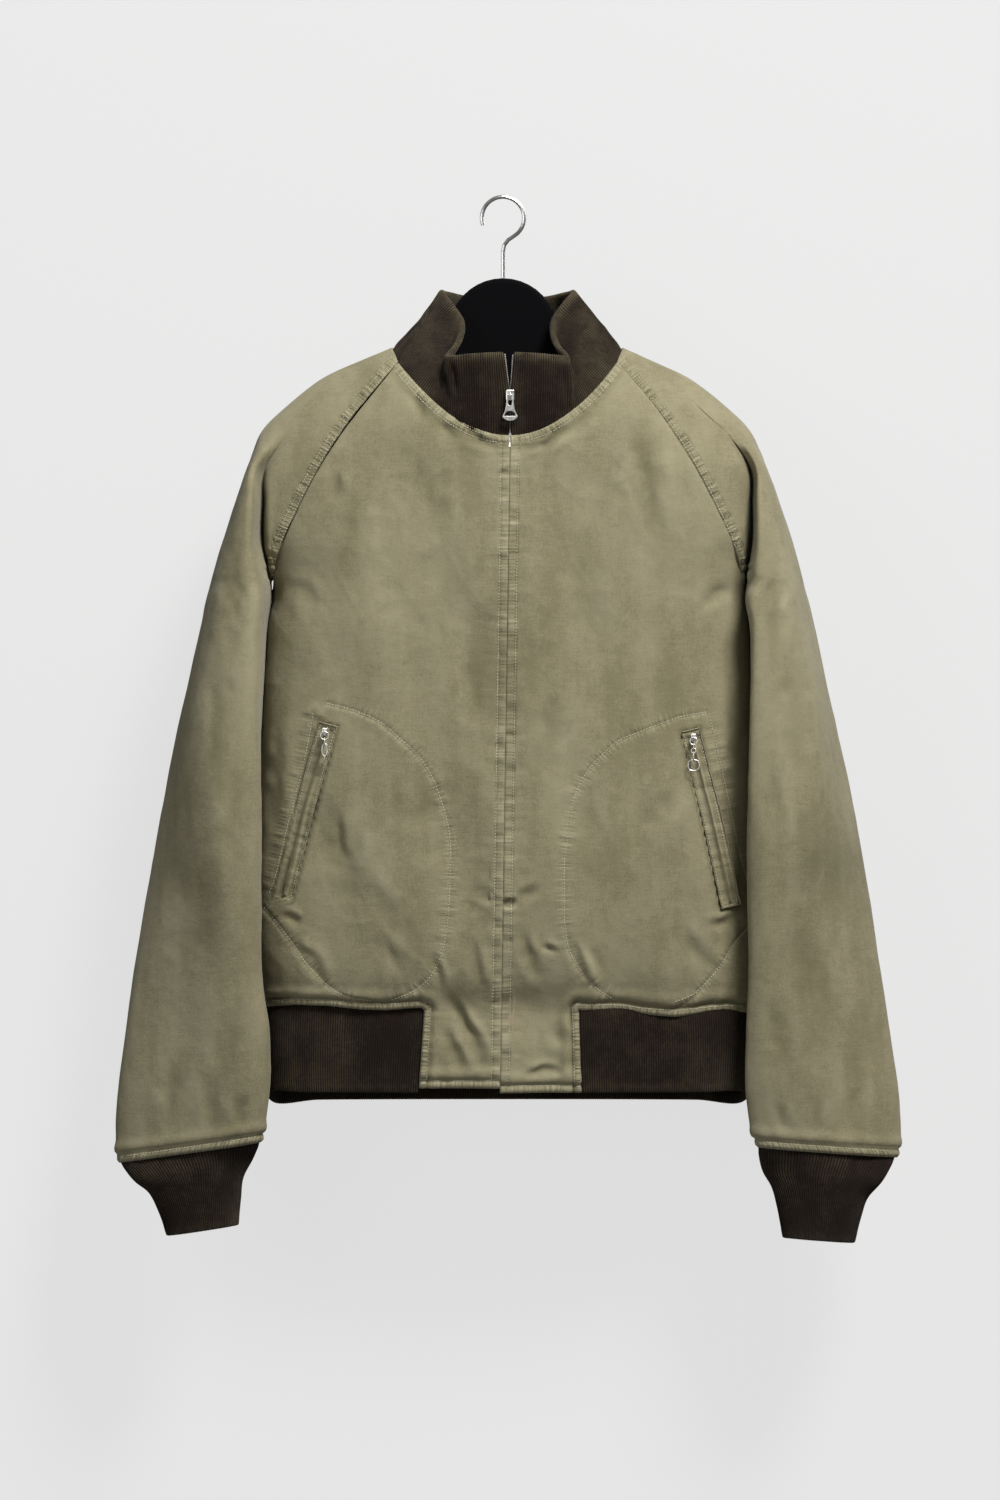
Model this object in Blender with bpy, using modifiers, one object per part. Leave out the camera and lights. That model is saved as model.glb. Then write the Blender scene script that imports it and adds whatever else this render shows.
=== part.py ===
"""Tanker jacket on a hanger.

The jacket hangs from the hanger's hook. The origin is the inside of the hook's bend, +Z is up and the zip
faces -Y. Lengths are in millimetres until a mesh is made. Heights (z) are measured down from the origin,
and x in the tables is measured from the jacket's own centre line. Side -1 is the viewer's left.
"""

import math
from collections import namedtuple

import bmesh
import bpy
from mathutils import Vector

OBJECT_NAME = "tanker_jacket"
MM = 0.001

# Driving dimensions
CENTRE_X = 4.0  # the jacket has slipped this far to the right of the hook
CLOTH = 1.3
KNIT = 2.6
TAPE = 0.8
SEAM_GAP = 0.5
KNIT_GAP = 1.7  # the knit's thick wall turns away from the cloth, so its own trim is larger
NECK_FRONT_Z = -212.0
NECK_SIDE_Z = -133.0
NECK_BACK_Z = -153.0
NECK_HALF_WIDTH = 102.0
FRONT_SEAM_TOP = (96.5, -146.0)  # x and z where the front raglan seam leaves the neck
BACK_SEAM_TOP = (78.0, -141.0)
TIP_Z = -206.0  # shoulder tip, over the hanger's end
FOLD_END_Z = -333.0  # where the raglan seam goes round the body's side fold
ARMPIT_Z = -345.0
ARMPIT_X = 210.6
HEM_SEAM_Z = -717.0
CUFF_SEAM_Z = -843.0
ZIP_TOP_X = 2.2
ZIP_END_X = -6.6
ZIP_OPEN_X = {-1: -5.0, 1: 3.0}  # how far the collar's two ends part at the upper edge
TAB_X = {-1: (-73.5, -78.0), 1: (63.0, 65.5)}  # outer edge of each tab at the hem seam and at its end
TAB_END_Z = {-1: -786.0, 1: -790.0}
CUFF_TILT = {-1: 9.5, 1: 5.0}  # how far each end of the cuff seam is above or below its middle
CUFF_TILT_START_Z = -700.0
SLEEVE_HALF_WIDTH = 62.0
NECK_SIDE_SHARES = (0.5, 0.55, 0.6, 0.66, 0.72)  # places on the neck ring along the sleeve
RIB_FRONT_Z = -788.5
RIB_BACK_Z = -798.5
BACK_SEAM_INWARD = 15.0  # how much nearer the centre the back raglan seam starts than the front one
DRAPE_START = 12.0  # above the shoulder tip, where the sleeve begins to hang free
DRAPE_END = 34.0  # below the tip, where it hangs in its own folds
GROOVE_SHARES = (0.5, 0.62, 0.74)  # places of fold, groove and lip between the seam and the ridge
LEAST_LIP = 4.0  # from the groove to the sleeve's front edge
LEAST_TURN = 0.65  # limits the sleeve's inner fullness where its section lies across
SQUARENESS = 2.4  # of the sleeve's ovals
NECK_SIDE_END = 0.6  # place on the neck ring of the point above the shoulder
NECK_BACK_START = 0.72  # place where the back raglan seam meets it
COLLAR_FRONT = 0.1  # part of the ring over which the collar's ends part
COLLAR_HEIGHTS = (0.0, 0.25, 0.5, 0.75, 1.0)
RIB_HEIGHTS = (0.0, 0.35, 0.7, 1.0)
RIB_FRONT_PARTS = (0.0, 0.25, 0.5, 0.75)
RIB_BACK_PARTS = (0.8, 0.6, 0.4, 0.2, 0.0)
RIB_SIDE_SHARE = 0.3  # how far the rib's side has dropped from its front to its back length
TAPE_END = 4.0  # a tape stops this far above the tab's end

# The body's horizontal sections. wide: half-width of the full curve; fold: half-width at the side fold;
# front and back: depth before and behind the centre plane; power: squareness of the curve.
Body = namedtuple("Body", "z wide fold front back power")
BODY = (
    Body(-133, 102, 95, 20, 26, 2.0),
    Body(-146, 130, 121, 34, 40, 2.0),
    Body(-161, 161, 150, 45, 49, 2.05),
    Body(-176, 182, 171, 52, 53, 2.1),
    Body(-192, 200, 190, 57, 56, 2.15),
    Body(-206, 214, 203, 59.5, 58, 2.2),
    Body(-220, 228, 209, 61, 59, 2.25),
    Body(-251, 250, 211, 63, 60, 2.3),
    Body(-293, 240, 211, 66, 61, 2.45),
    Body(-333, 214, 208, 68, 61, 2.7),
    Body(-345, 209, 205, 68.5, 61, 2.75),
    Body(-377, 213, 209, 69, 61, 2.8),
    Body(-440, 217, 213, 70, 60, 2.8),
    Body(-520, 220, 216, 71, 59, 2.8),
    Body(-600, 222, 218, 71, 59, 2.8),
    Body(-660, 223, 219, 69, 58, 2.8),
    Body(-695, 221, 217, 63, 54, 2.8),
    Body(-717, 216, 212, 55, 49, 2.8),
    Body(-750, 217, 213, 56, 50, 2.8),
    Body(-799, 214, 210, 53, 48, 2.8),
)

# The raglan seam, seen from the front
Seam = namedtuple("Seam", "z x")
RAGLAN = (
    Seam(-141, 93),
    Seam(-146, 96.5),
    Seam(-161, 108.5),
    Seam(-176, 121),
    Seam(-197, 137.5),
    Seam(-218, 152),
    Seam(-240, 165.5),
    Seam(-262, 177),
    Seam(-285, 188.5),
    Seam(-308, 199),
    Seam(-333, 208),
)

# The groove between body and sleeve, from the shoulder tip to the armpit. lip: the sleeve's front edge.
Groove = namedtuple("Groove", "z groove_x groove_y lip_left lip_right lip_y outer")
GROOVE = (
    Groove(-206, 207.5, 17, 211, 211, 12, 214),
    Groove(-220, 212.5, 20, 217, 216.5, 23, 220.5),
    Groove(-235, 214.5, 21, 222, 219, 36, 226),
    Groove(-251, 215.5, 20, 225, 220, 46, 232),
    Groove(-293, 216, 17, 226.5, 220.5, 61, 247),
    Groove(-333, 212, 8, 227, 220, 70, 259),
    Groove(-345, ARMPIT_X, 0, 227, 219.8, 72, 262.5),
)

# The sleeve below the armpit. tip: front edge; tail: back edge; out: fullness away from the body;
# outer: where it is widest; under: x of the underarm seam.
Tube = namedtuple("Tube", "z tip_left tip_right tip_y tail_x tail_y out outer under")
TUBE = (
    Tube(-351, 227, 219.8, 73, 224, -66, 38, 264, 214.5),
    Tube(-377, 228, 219, 76, 228, -66, 43, 270, 217),
    Tube(-433, 227.5, 217, 79, 236, -64, 51, 282.5, 220),
    Tube(-489, 226.5, 215, 80, 248, -58, 54, 295, 224),
    Tube(-546, 223, 214.3, 79, 270, -44, 48, 306, 231),
    Tube(-620, 221.4, 213.4, 72, 303, -20, 33, 319, 247),
    Tube(-681, 219.6, 213.2, 64, 322, -2, 26, 329, 258),
    Tube(-742, 216.5, 213, 57, 333, 10, 22, 337, 264),
    Tube(-800, 213.6, 214, 50, 341, 16, 20, 344, 268),
    Tube(-825, 214.3, 214.8, 47, 342, 18, 18, 344.5, 269),
    Tube(-843, 217, 220, 45, 340, 20, 16, 342, 269),
)

# The cuffs' sections, from the seam to the end. depth: front to back.
Cuff = namedtuple("Cuff", "inner_x inner_z outer_x outer_z depth")
CUFFS = {
    -1: (
        Cuff(224.5, -851, 327, -870, 36),
        Cuff(231.5, -865, 317, -880, 33),
        Cuff(234, -884, 309, -896, 30),
        Cuff(236.5, -906, 301.4, -915.6, 28),
    ),
    1: (
        Cuff(225.5, -860, 330, -870, 36),
        Cuff(233, -872, 319.5, -883, 33),
        Cuff(238, -890, 313.5, -899, 30),
        Cuff(243.5, -917, 306.8, -921.8, 28),
    ),
}
CUFF_Y = -31.0

# The collar's upper edge against its place on the neck ring (0 at the zip, 1 at the centre back)
Rim = namedtuple("Rim", "share x y height")
RIM = (
    Rim(0.0, 0, -61.5, -141),
    Rim(0.1, 20, -61, -141.5),
    Rim(0.2, 40, -59, -143),
    Rim(0.28, 55, -54, -144.5),
    Rim(0.33, 51, -43, -136.5),
    Rim(0.39, 42, -34, -126),
    Rim(0.46, 40, -22, -112),
    Rim(0.53, 49, -9, -96),
    Rim(0.6, 60, 4, -82),
    Rim(0.7, 53, 21, -83),
    Rim(0.8, 39, 33, -86),
    Rim(0.9, 20, 39, -88),
    Rim(1.0, 0, 41, -88.5),
)

# Where each kind of cloth is divided
PANEL_SHARES = (0.2, 0.4, 0.58, 0.75, 0.88, 1.0)  # from the tab's edge to the side fold
BACK_SHARES = (0.0, 0.18, 0.36, 0.54, 0.7, 0.84, 1.0)  # from the centre back to the side fold
SIDE_SHARES = (0.62, 0.3, 0.0)  # of the side fold's angle, down to the side seam
Cap = namedtuple("Cap", "front_seam ridge back_seam zip back_middle")  # heights of a row round the shoulder
CAP_ROWS = (
    Cap(-146, -133, -141, -212, -153),
    Cap(-163, -146, -160, -222, -168),
    Cap(-182, -163, -181, -234, -186),
    Cap(-203, -184, -203, -248, -207),
    Cap(-226, -208, -226, -263, -229),
    Cap(-250, -236, -250, -281, -252),
    Cap(-277, -268, -277, -300, -278),
    Cap(-305, -301, -305, -319, -306),
    Cap(FOLD_END_Z, FOLD_END_Z, FOLD_END_Z, -338, -334),
)
SIDE_ROWS = (ARMPIT_Z, -377, -430, -490, -550, -610, -655, -690, HEM_SEAM_Z)
TUBE_ROWS = (-351, -377, -420, -470, -520, -570, -620, -681, -742, -800, -825, CUFF_SEAM_Z)
CAP_SPANS = (3, 2, 4, 5)  # seam to fold, fold to groove, groove to lip, lip to ridge

# Front zip: the slider stands at the collar's middle, and its pull hangs from a bridge on its face
SLIDER_Z = -176.8
SLIDER_SIZE = (7.4, 4.0, 9.4)
BRIDGE_RADIUS = 2.8
BRIDGE_WIRE = 0.6
PIVOT_OUT = 1.15  # from the slider's face to the pull's bar
PULL_THICK = 1.2
PULL_EDGE = 0.25
PULL_OUTLINE = (
    (2.8, 0.6), (3.1, -3), (3.3, -8), (4.2, -13), (6.7, -19.0), (5.6, -20.6), (3, -22.2), (0, -22.7),
)
PULL_SLOT = ((1.7, -0.6), (1.7, -7.6), (1.2, -8.8), (0, -9.2))
PULL_HOLE = ((0, -13.9), (2.6, -14.5), (4.3, -16.4), (5.0, -18.4), (0, -18.5))
TAPE_WIDTH = 12.0
TAPE_SHOWS = 1.0  # how far a tape reaches past the cloth's edge

# Pockets
POCKET_TOP = {-1: (-157.3, -465.5), 1: (160.3, -470.5)}  # middle of each welt's upper end
POCKET_END = {-1: (-198.0, -620.5), 1: (196.2, -626.5)}
WELT_WIDTH = 17.0
WELT_END = 4.5  # from each end of the welt to its slit
SLIT_WIDTH = 3.0
LAP = 0.45  # space between a piece and the panel that it lies on
TAPE_LAP = 0.75  # the same behind the collar, whose wall leans
WELT_STEPS = 10
SLIT_MARGIN = 0.3  # from a slit's edge to its zip
SLIDER_ROUNDING = 0.8
SLIDER_PLACE = 1.6  # welt ends from the top to a pocket's slider
POCKET_SLIDER_SIZE = (4.6, 3.2, 7.0)
POCKET_BRIDGE = 2.4
POCKET_PIVOT_OUT = 1.1
CHAIN_WIRE = 0.45
CHAIN_GAP = 0.5
LINK_STEPS = 16
Link = namedtuple("Link", "half_width half_height faces_front")
CHAINS = {  # from the slider down; the last link is the ring that is held
    -1: (Link(3.4, 3.4, True), Link(1.6, 3.2, False), Link(2.3, 5.4, True), Link(3.2, 3.2, False)),
    1: (
        Link(3.1, 3.1, True), Link(1.5, 3.0, False), Link(2.0, 2.2, True),
        Link(1.5, 4.2, False), Link(4.9, 4.9, True),
    ),
}

# Hanger
HEAD_RADIUS = 48.4
HEAD_Z = -118.8
HANGER_THICK = 12.0
HANGER_EDGE = 4.0
HANGER_DROP = 3.2  # from the cloth's ridge to the arm's top
HEAD_SPAN = 112.0  # degrees of the head's arc on each side of its top
HEAD_STEPS = 12
ARM_START = (62, -143.5)
ARM_PLACES = (80, 98, 114, 130, 146, 162, 178, 190, 200)
ARM_UNDERSIDE = ((206, -213), (203, -220), (196, -222), (150, -197), (100, -179), (50, -171), (0, -169))
WIRE_RADIUS = 1.75
HOOK_RADIUS = 18.75
HOOK_START = -58.0  # degrees round the bend, from its foot to its tip
HOOK_SPAN = 258.0
HOOK_STEPS = 24
HOOK_FOOT = ((0, -70), (0, -60), (0, -47), (1.2, -41), (4.6, -36.5))


def hermite(keys, values, at):
    """A smooth curve through (keys, values) that doesn't overshoot them."""
    if keys[0] > keys[-1]:
        keys = [-key for key in keys]
        at = -at
    at = min(max(at, keys[0]), keys[-1])
    spot = max(i for i in range(len(keys) - 1) if keys[i] <= at)
    steps = [b - a for a, b in zip(keys, keys[1:])]
    rises = [(b - a) / step for a, b, step in zip(values, values[1:], steps)]

    def slope(i):
        if i == 0:
            return rises[0]
        if i == len(rises):
            return rises[-1]
        before, after = rises[i - 1], rises[i]
        return 0.0 if before * after <= 0 else 2 * before * after / (before + after)

    step = steps[spot]
    t = (at - keys[spot]) / step
    return (
        values[spot] * (2 * t**3 - 3 * t**2 + 1)
        + values[spot + 1] * (3 * t**2 - 2 * t**3)
        + slope(spot) * step * (t**3 - 2 * t**2 + t)
        + slope(spot + 1) * step * (t**3 - t**2)
    )


def read(table, column, at):
    """A column's value at this place in the table's first column."""
    return hermite([row[0] for row in table], [getattr(row, column) for row in table], at)


def mix(a, b, share):
    return a + (b - a) * share


def fade(z, start, end):
    """0 above start, 1 below end, smooth between."""
    t = min(max((start - z) / (start - end), 0.0), 1.0)
    return t * t * (3 - 2 * t)


def depth(x, z, face):
    """y of the body's front (face -1) or back (face 1) at x and z."""
    power = read(BODY, "power", z)
    reach = min(abs(x) / read(BODY, "wide", z), 1.0)
    column = "front" if face < 0 else "back"
    return face * read(BODY, column, z) * (1 - reach**power) ** (1 / power)


def side_point(z, share, side, face):
    """A point of the body's section between the side fold (share 1) and the side seam (share 0)."""
    power = read(BODY, "power", z)
    wide = read(BODY, "wide", z)
    angle = math.acos((read(BODY, "fold", z) / wide) ** (power / 2)) * share
    column = "front" if face < 0 else "back"
    x = side * wide * math.cos(angle) ** (2 / power)
    y = face * read(BODY, column, z) * math.sin(angle) ** (2 / power)
    return Vector((x, y, z))


def zip_x(z):
    return mix(ZIP_TOP_X, ZIP_END_X, (z - NECK_FRONT_Z) / (TAB_END_Z[-1] - NECK_FRONT_Z))


def seam_x(z, face):
    """The raglan seam's distance from the centre on the front or the back."""
    inward = 0.0
    if face > 0:
        inward = BACK_SEAM_INWARD * (1 - fade(z, BACK_SEAM_TOP[1], FOLD_END_Z))
    return read(RAGLAN, "x", z) - inward


def panel_edge(z, face):
    """Where a front or back panel's flat part ends: at the raglan seam, then at the side fold."""
    if z >= FOLD_END_Z:
        return seam_x(z, face)
    return read(BODY, "fold", z)


def side_points(z, side, face):
    """The panel's last points, round to the side seam, all at the raglan seam above the armpit."""
    if z > ARMPIT_Z:
        x = side * panel_edge(z, face)
        return [Vector((x, depth(x, z, face), z))] * len(SIDE_SHARES)
    return [side_point(z, share, side, face) for share in SIDE_SHARES]


def panel_row(side, face, outer_z, inner_z, start_x, shares):
    row = []
    edge_x = side * panel_edge(outer_z, face)
    for share in shares:
        z = mix(inner_z, outer_z, share * share)
        x = mix(start_x, edge_x, share)
        row.append(Vector((x, depth(x, z, face), z)))
    return row + side_points(outer_z, side, face)


def front_shares(side):
    """Column places from the zip to the side fold, one of them at the tab's edge."""
    start = zip_x(HEM_SEAM_Z)
    edge = side * read(BODY, "fold", HEM_SEAM_Z)
    tab = (TAB_X[side][0] - start) / (edge - start)
    return [0.0, tab / 2, tab] + [mix(tab, 1.0, share) for share in PANEL_SHARES]


def front_rows(side):
    shares = front_shares(side)
    heights = [(row.front_seam, row.zip) for row in CAP_ROWS]
    heights += [(z, z - 3 if z == ARMPIT_Z else z) for z in SIDE_ROWS]
    return [
        panel_row(side, -1, outer_z, inner_z, zip_x(inner_z), shares)
        for outer_z, inner_z in heights
    ]


def tab_rows(side, count=4):
    """The tab below the hem seam, as wide as the front's first three columns."""
    rows = []
    for i in range(1, count + 1):
        z = mix(HEM_SEAM_Z, TAB_END_Z[side], i / count)
        edge = mix(*TAB_X[side], i / count)
        xs = [mix(zip_x(z), edge, share) for share in (0.0, 0.5, 1.0)]
        rows.append([Vector((x, depth(x, z, -1), z)) for x in xs])
    return rows


def back_rows():
    heights = [(row.back_seam, row.back_middle) for row in CAP_ROWS] + [(z, z) for z in SIDE_ROWS]
    rows = []
    for outer_z, inner_z in heights:
        left = panel_row(-1, 1, outer_z, inner_z, 0.0, BACK_SHARES)
        right = panel_row(1, 1, outer_z, inner_z, 0.0, BACK_SHARES)
        rows.append(left[:0:-1] + right)
    return rows


def cap_half(side, face, seam_z, ridge_z):
    """Half of one section of the sleeve's cap, from the raglan seam to the ridge."""
    blend = fade(ridge_z, TIP_Z + DRAPE_START, TIP_Z - DRAPE_END)
    deep = 1.0 if face < 0 else read(BODY, "back", seam_z) / read(BODY, "front", seam_z)
    lip_column = "lip_left" if side < 0 else "lip_right"
    ridge_x = read(BODY, "wide", ridge_z) if ridge_z >= TIP_Z else read(GROOVE, "outer", ridge_z)
    start_x = seam_x(seam_z, face)

    def on_shoulder(share):
        """x, y, z on the plain shoulder surface, as if there were no groove."""
        x = mix(start_x, ridge_x, share)
        z = mix(seam_z, ridge_z, share)
        return Vector((x, abs(depth(x, z, face)), z))

    def placed(share, x, y):
        shoulder = on_shoulder(share)
        return shoulder.lerp(Vector((x, y * deep, shoulder.z)), blend)

    fold_share, groove_share, lip_share = GROOVE_SHARES
    groove_z = mix(seam_z, ridge_z, groove_share)
    fold_x = read(BODY, "fold", groove_z)
    fold_y = abs(depth(fold_x, groove_z, -1))
    lip_x = read(GROOVE, lip_column, groove_z)
    lip_y = read(GROOVE, "lip_y", groove_z)
    groove_x = min(read(GROOVE, "groove_x", groove_z), lip_x - LEAST_LIP)
    groove_y = read(GROOVE, "groove_y", groove_z)
    if groove_z <= FOLD_END_Z:
        groove_x = read(GROOVE, "groove_x", groove_z)
    to_fold, to_groove, to_lip, to_ridge = CAP_SPANS
    row = []
    for i in range(to_fold):
        share = i / to_fold
        x = mix(start_x, fold_x, share)
        z = mix(seam_z, groove_z, share)
        row.append(on_shoulder(fold_share * share).lerp(Vector((x, abs(depth(x, z, face)), z)), blend))
    for i in range(to_groove):
        share = i / to_groove
        x = mix(fold_x, groove_x, share)
        y = mix(fold_y, groove_y, share)
        row.append(placed(mix(fold_share, groove_share, share), x, y))
    full = fade(groove_z, -293, ARMPIT_Z)
    for i in range(to_lip):
        share = i / to_lip
        angle = math.radians(90 * (1 - share))
        round_x = lip_x - (lip_x - groove_x) * math.sin(angle) ** (2 / SQUARENESS)
        round_y = groove_y + (lip_y - groove_y) * math.cos(angle) ** (2 / SQUARENESS)
        x = mix(mix(groove_x, lip_x, share), round_x, full)
        y = mix(mix(groove_y, lip_y, share), round_y, full)
        row.append(placed(mix(groove_share, lip_share, share), x, y))
    for i in range(to_ridge + 1):
        share = i / to_ridge
        angle = math.radians(90 * share)
        x = lip_x + (ridge_x - lip_x) * math.sin(angle) ** (2 / SQUARENESS)
        y = lip_y * math.cos(angle) ** (2 / SQUARENESS)
        row.append(placed(mix(lip_share, 1.0, share), x, y))
    return [Vector((side * p.x, face * p.y, p.z)) for p in row]


def cap_row(side, heights):
    front = cap_half(side, -1, heights.front_seam, heights.ridge)
    back = cap_half(side, 1, heights.back_seam, heights.ridge)
    return front + back[-2::-1]


def neck_row(side):
    """The sleeve's edge at the neck, spread evenly along the collar's own edges."""
    corners = [neck_point(share, side) for share in NECK_SIDE_SHARES]
    count = 2 * sum(CAP_SPANS)
    row = []
    for i in range(count + 1):
        place = i / count * (len(corners) - 1)
        spot = min(int(place), len(corners) - 2)
        row.append(corners[spot].lerp(corners[spot + 1], place - spot))
    return row


def ring_angles():
    """Round a tube from the underarm seam: 0 is its front edge, 90 its outer face, 180 its back edge."""
    to_lip, to_ridge = CAP_SPANS[2:]
    angles = [270 + 90 * i / to_lip for i in range(to_lip)]
    angles += [90 * i / to_ridge for i in range(2 * to_ridge)]
    return angles + [180 + 90 * i / to_lip for i in range(to_lip + 1)]


def bulge(value):
    """One coordinate of a slightly squared oval, from a sine or cosine."""
    return math.copysign(abs(value) ** (2 / SQUARENESS), value)


def tube_row(side, z):
    """One section of the sleeve below the armpit, from the underarm seam round the front to it again."""
    tip = Vector((read(TUBE, "tip_left" if side < 0 else "tip_right", z), -read(TUBE, "tip_y", z)))
    tail = Vector((read(TUBE, "tail_x", z), -read(TUBE, "tail_y", z)))
    middle = (tip + tail) / 2
    along = (tip - tail) / 2
    outward = Vector((-along.y, along.x)).normalized()
    out = read(TUBE, "out", z)
    inn = middle.x - read(TUBE, "under", z)
    inn = inn / max(outward.x, LEAST_TURN)
    spots = []
    for angle in ring_angles():
        turn = math.radians(angle)
        part = (out if angle <= 180 else inn) * bulge(math.sin(turn))
        spots.append(middle + along * bulge(math.cos(turn)) + outward * part)
    stretch = (read(TUBE, "outer", z) - middle.x) / (max(spot.x for spot in spots) - middle.x)
    tilt = CUFF_TILT[side] * fade(z, CUFF_TILT_START_Z, CUFF_SEAM_Z)
    row = []
    for spot in spots:
        x = middle.x + (spot.x - middle.x) * (stretch if spot.x > middle.x else 1.0)
        row.append(Vector((side * x, spot.y, z - tilt * (x - middle.x) / SLEEVE_HALF_WIDTH)))
    return row


def armpit_row(side):
    """The last row of the cap, whose ends meet at the armpit."""
    row = cap_half(side, -1, ARMPIT_Z, ARMPIT_Z) + cap_half(side, 1, ARMPIT_Z, ARMPIT_Z)[-2::-1]
    lead = sum(CAP_SPANS[:2]) + 1
    armpit = Vector((side * ARMPIT_X, 0, ARMPIT_Z))
    return [armpit] * lead + row[lead:-lead] + [armpit] * lead


def sleeve_rows(side):
    caps = trimmed([neck_row(side)] + [cap_row(side, row) for row in CAP_ROWS[1:]], ("start", "end"))
    lead = sum(CAP_SPANS[:2])
    tubes = []
    for z in TUBE_ROWS:
        row = tube_row(side, z)
        tubes.append([row[0]] * lead + row + [row[-1]] * lead)
    return trimmed(caps + [armpit_row(side)] + tubes, ("top", "bottom"))


def neck_point(share, side):
    """A point of the neck seam, from the zip (0) round to the centre back (1)."""
    x, z, face = neck_spot(share)
    return Vector((side * x, depth(x, z, face), z))


def neck_spot(share):
    if share <= 0.5:
        part = share / 0.5
        return FRONT_SEAM_TOP[0] * part, mix(NECK_FRONT_Z, FRONT_SEAM_TOP[1], part**2), -1
    if share <= NECK_SIDE_END:
        part = (share - 0.5) / (NECK_SIDE_END - 0.5)
        return mix(FRONT_SEAM_TOP[0], NECK_HALF_WIDTH, part), mix(FRONT_SEAM_TOP[1], NECK_SIDE_Z, part), -1
    if share <= NECK_BACK_START:
        part = (share - NECK_SIDE_END) / (NECK_BACK_START - NECK_SIDE_END)
        return mix(NECK_HALF_WIDTH, BACK_SEAM_TOP[0], part), mix(NECK_SIDE_Z, BACK_SEAM_TOP[1], part), 1
    part = (share - NECK_BACK_START) / (1 - NECK_BACK_START)
    drop = BACK_SEAM_TOP[1] - NECK_BACK_Z
    return BACK_SEAM_TOP[0] * (1 - part), NECK_BACK_Z + drop * (1 - part) ** 2, 1


def collar_point(share, height, side):
    """A point of the collar: height 0 at the neck seam, 1 at the upper edge."""
    base = neck_point(share, side)
    rim = Vector([read(RIM, column, share) for column in ("x", "y", "height")])
    rim.x *= side
    spot = base.lerp(rim, height)
    near_zip = max(0.0, 1 - share / COLLAR_FRONT)
    spot.x += near_zip * (ZIP_TOP_X + ZIP_OPEN_X[side] * max(0.0, 2 * height - 1))
    return spot


def collar_shares(side):
    """Places on the neck ring, the same as those of the panels and the sleeve that meet it."""
    front = [0.5 * share for share in front_shares(side)]
    back = [1 - (1 - NECK_BACK_START) * share for share in BACK_SHARES[-2::-1]]
    return front + list(NECK_SIDE_SHARES[1:]) + back


def collar_rows():
    rows = []
    for height in COLLAR_HEIGHTS:
        left = [collar_point(share, height, -1) for share in collar_shares(-1)]
        right = [collar_point(share, height, 1) for share in collar_shares(1)]
        rows.append(left + right[-2::-1])
    return rows


def rib_rows():
    """The hem band, from the left tab round the back to the right tab."""
    rows = []
    for share in RIB_HEIGHTS:
        rows.append(rib_half(-1, share) + rib_half(1, share)[-2::-1])
    return rows


def rib_half(side, share):
    front_z = mix(HEM_SEAM_Z, RIB_FRONT_Z, share)
    back_z = mix(HEM_SEAM_Z, RIB_BACK_Z, share)
    side_z = mix(front_z, back_z, RIB_SIDE_SHARE)
    fold = side * read(BODY, "fold", front_z)
    start = mix(*TAB_X[side], share)
    row = []
    for part in RIB_FRONT_PARTS:
        x = mix(start, fold, part)
        row.append(Vector((x, depth(x, front_z, -1), front_z)))
    for face, parts in ((-1, (1.0, *SIDE_SHARES)), (1, (*SIDE_SHARES[-2::-1], 1.0))):
        for part in parts:
            spot = side_point(front_z, part, side, face)
            spot.z = side_z if part == 0 else mix(side_z, front_z if face < 0 else back_z, part)
            row.append(spot)
    for part in RIB_BACK_PARTS:
        x = fold * part
        row.append(Vector((x, depth(x, front_z, 1), back_z)))
    return row


def cuff_rows(side):
    rows = [tube_row(side, CUFF_SEAM_Z)]
    for section in CUFFS[side]:
        row = []
        for angle in ring_angles():
            turn = math.radians(angle)
            share = (1 - bulge(math.cos(turn))) / 2
            x = side * mix(section.inner_x, section.outer_x, share)
            y = CUFF_Y - section.depth / 2 * bulge(math.sin(turn))
            row.append(Vector((x, y, mix(section.inner_z, section.outer_z, share))))
        rows.append(row)
    return rows


def trimmed(rows, edges, gap=SEAM_GAP):
    """The rows with the named edges moved in by half a seam gap. Points that coincide move together."""
    half = gap / 2
    rows = [[point.copy() for point in row] for row in rows]

    def pull(line):
        """Moves a line's first point, and those that lie on it, towards the next one that doesn't."""
        start = line[0].copy()
        beyond = next((p for p in line if (p - start).length > 1e-3), None)
        if beyond is None:
            return
        step = (beyond - start).normalized() * half
        for point in line:
            if (point - start).length > 1e-3:
                break
            point += step

    if "start" in edges:
        for row in rows:
            pull(row)
    if "end" in edges:
        for row in rows:
            pull(row[::-1])
    if "top" in edges:
        for column in zip(*rows):
            pull(list(column[:2]))
    if "bottom" in edges:
        for column in zip(*rows):
            pull(list(column[:-3:-1]))
    return rows


def collection(name, hidden=False):
    made = bpy.data.collections.new(name)
    bpy.context.scene.collection.children.link(made)
    made.hide_render = hidden
    return made


def material(name, colour, roughness, metallic=0.0):
    made = bpy.data.materials.new(name)
    made.use_nodes = True
    shader = made.node_tree.nodes["Principled BSDF"]
    shader.inputs["Base Color"].default_value = (*colour, 1.0)
    shader.inputs["Roughness"].default_value = roughness
    shader.inputs["Metallic"].default_value = metallic
    made.diffuse_color = (*colour, 1.0)
    return made


def object_of(name, data, group, finish):
    made = bpy.data.objects.new(name, data)
    data.materials.append(finish)
    group.objects.link(made)
    return made


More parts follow.
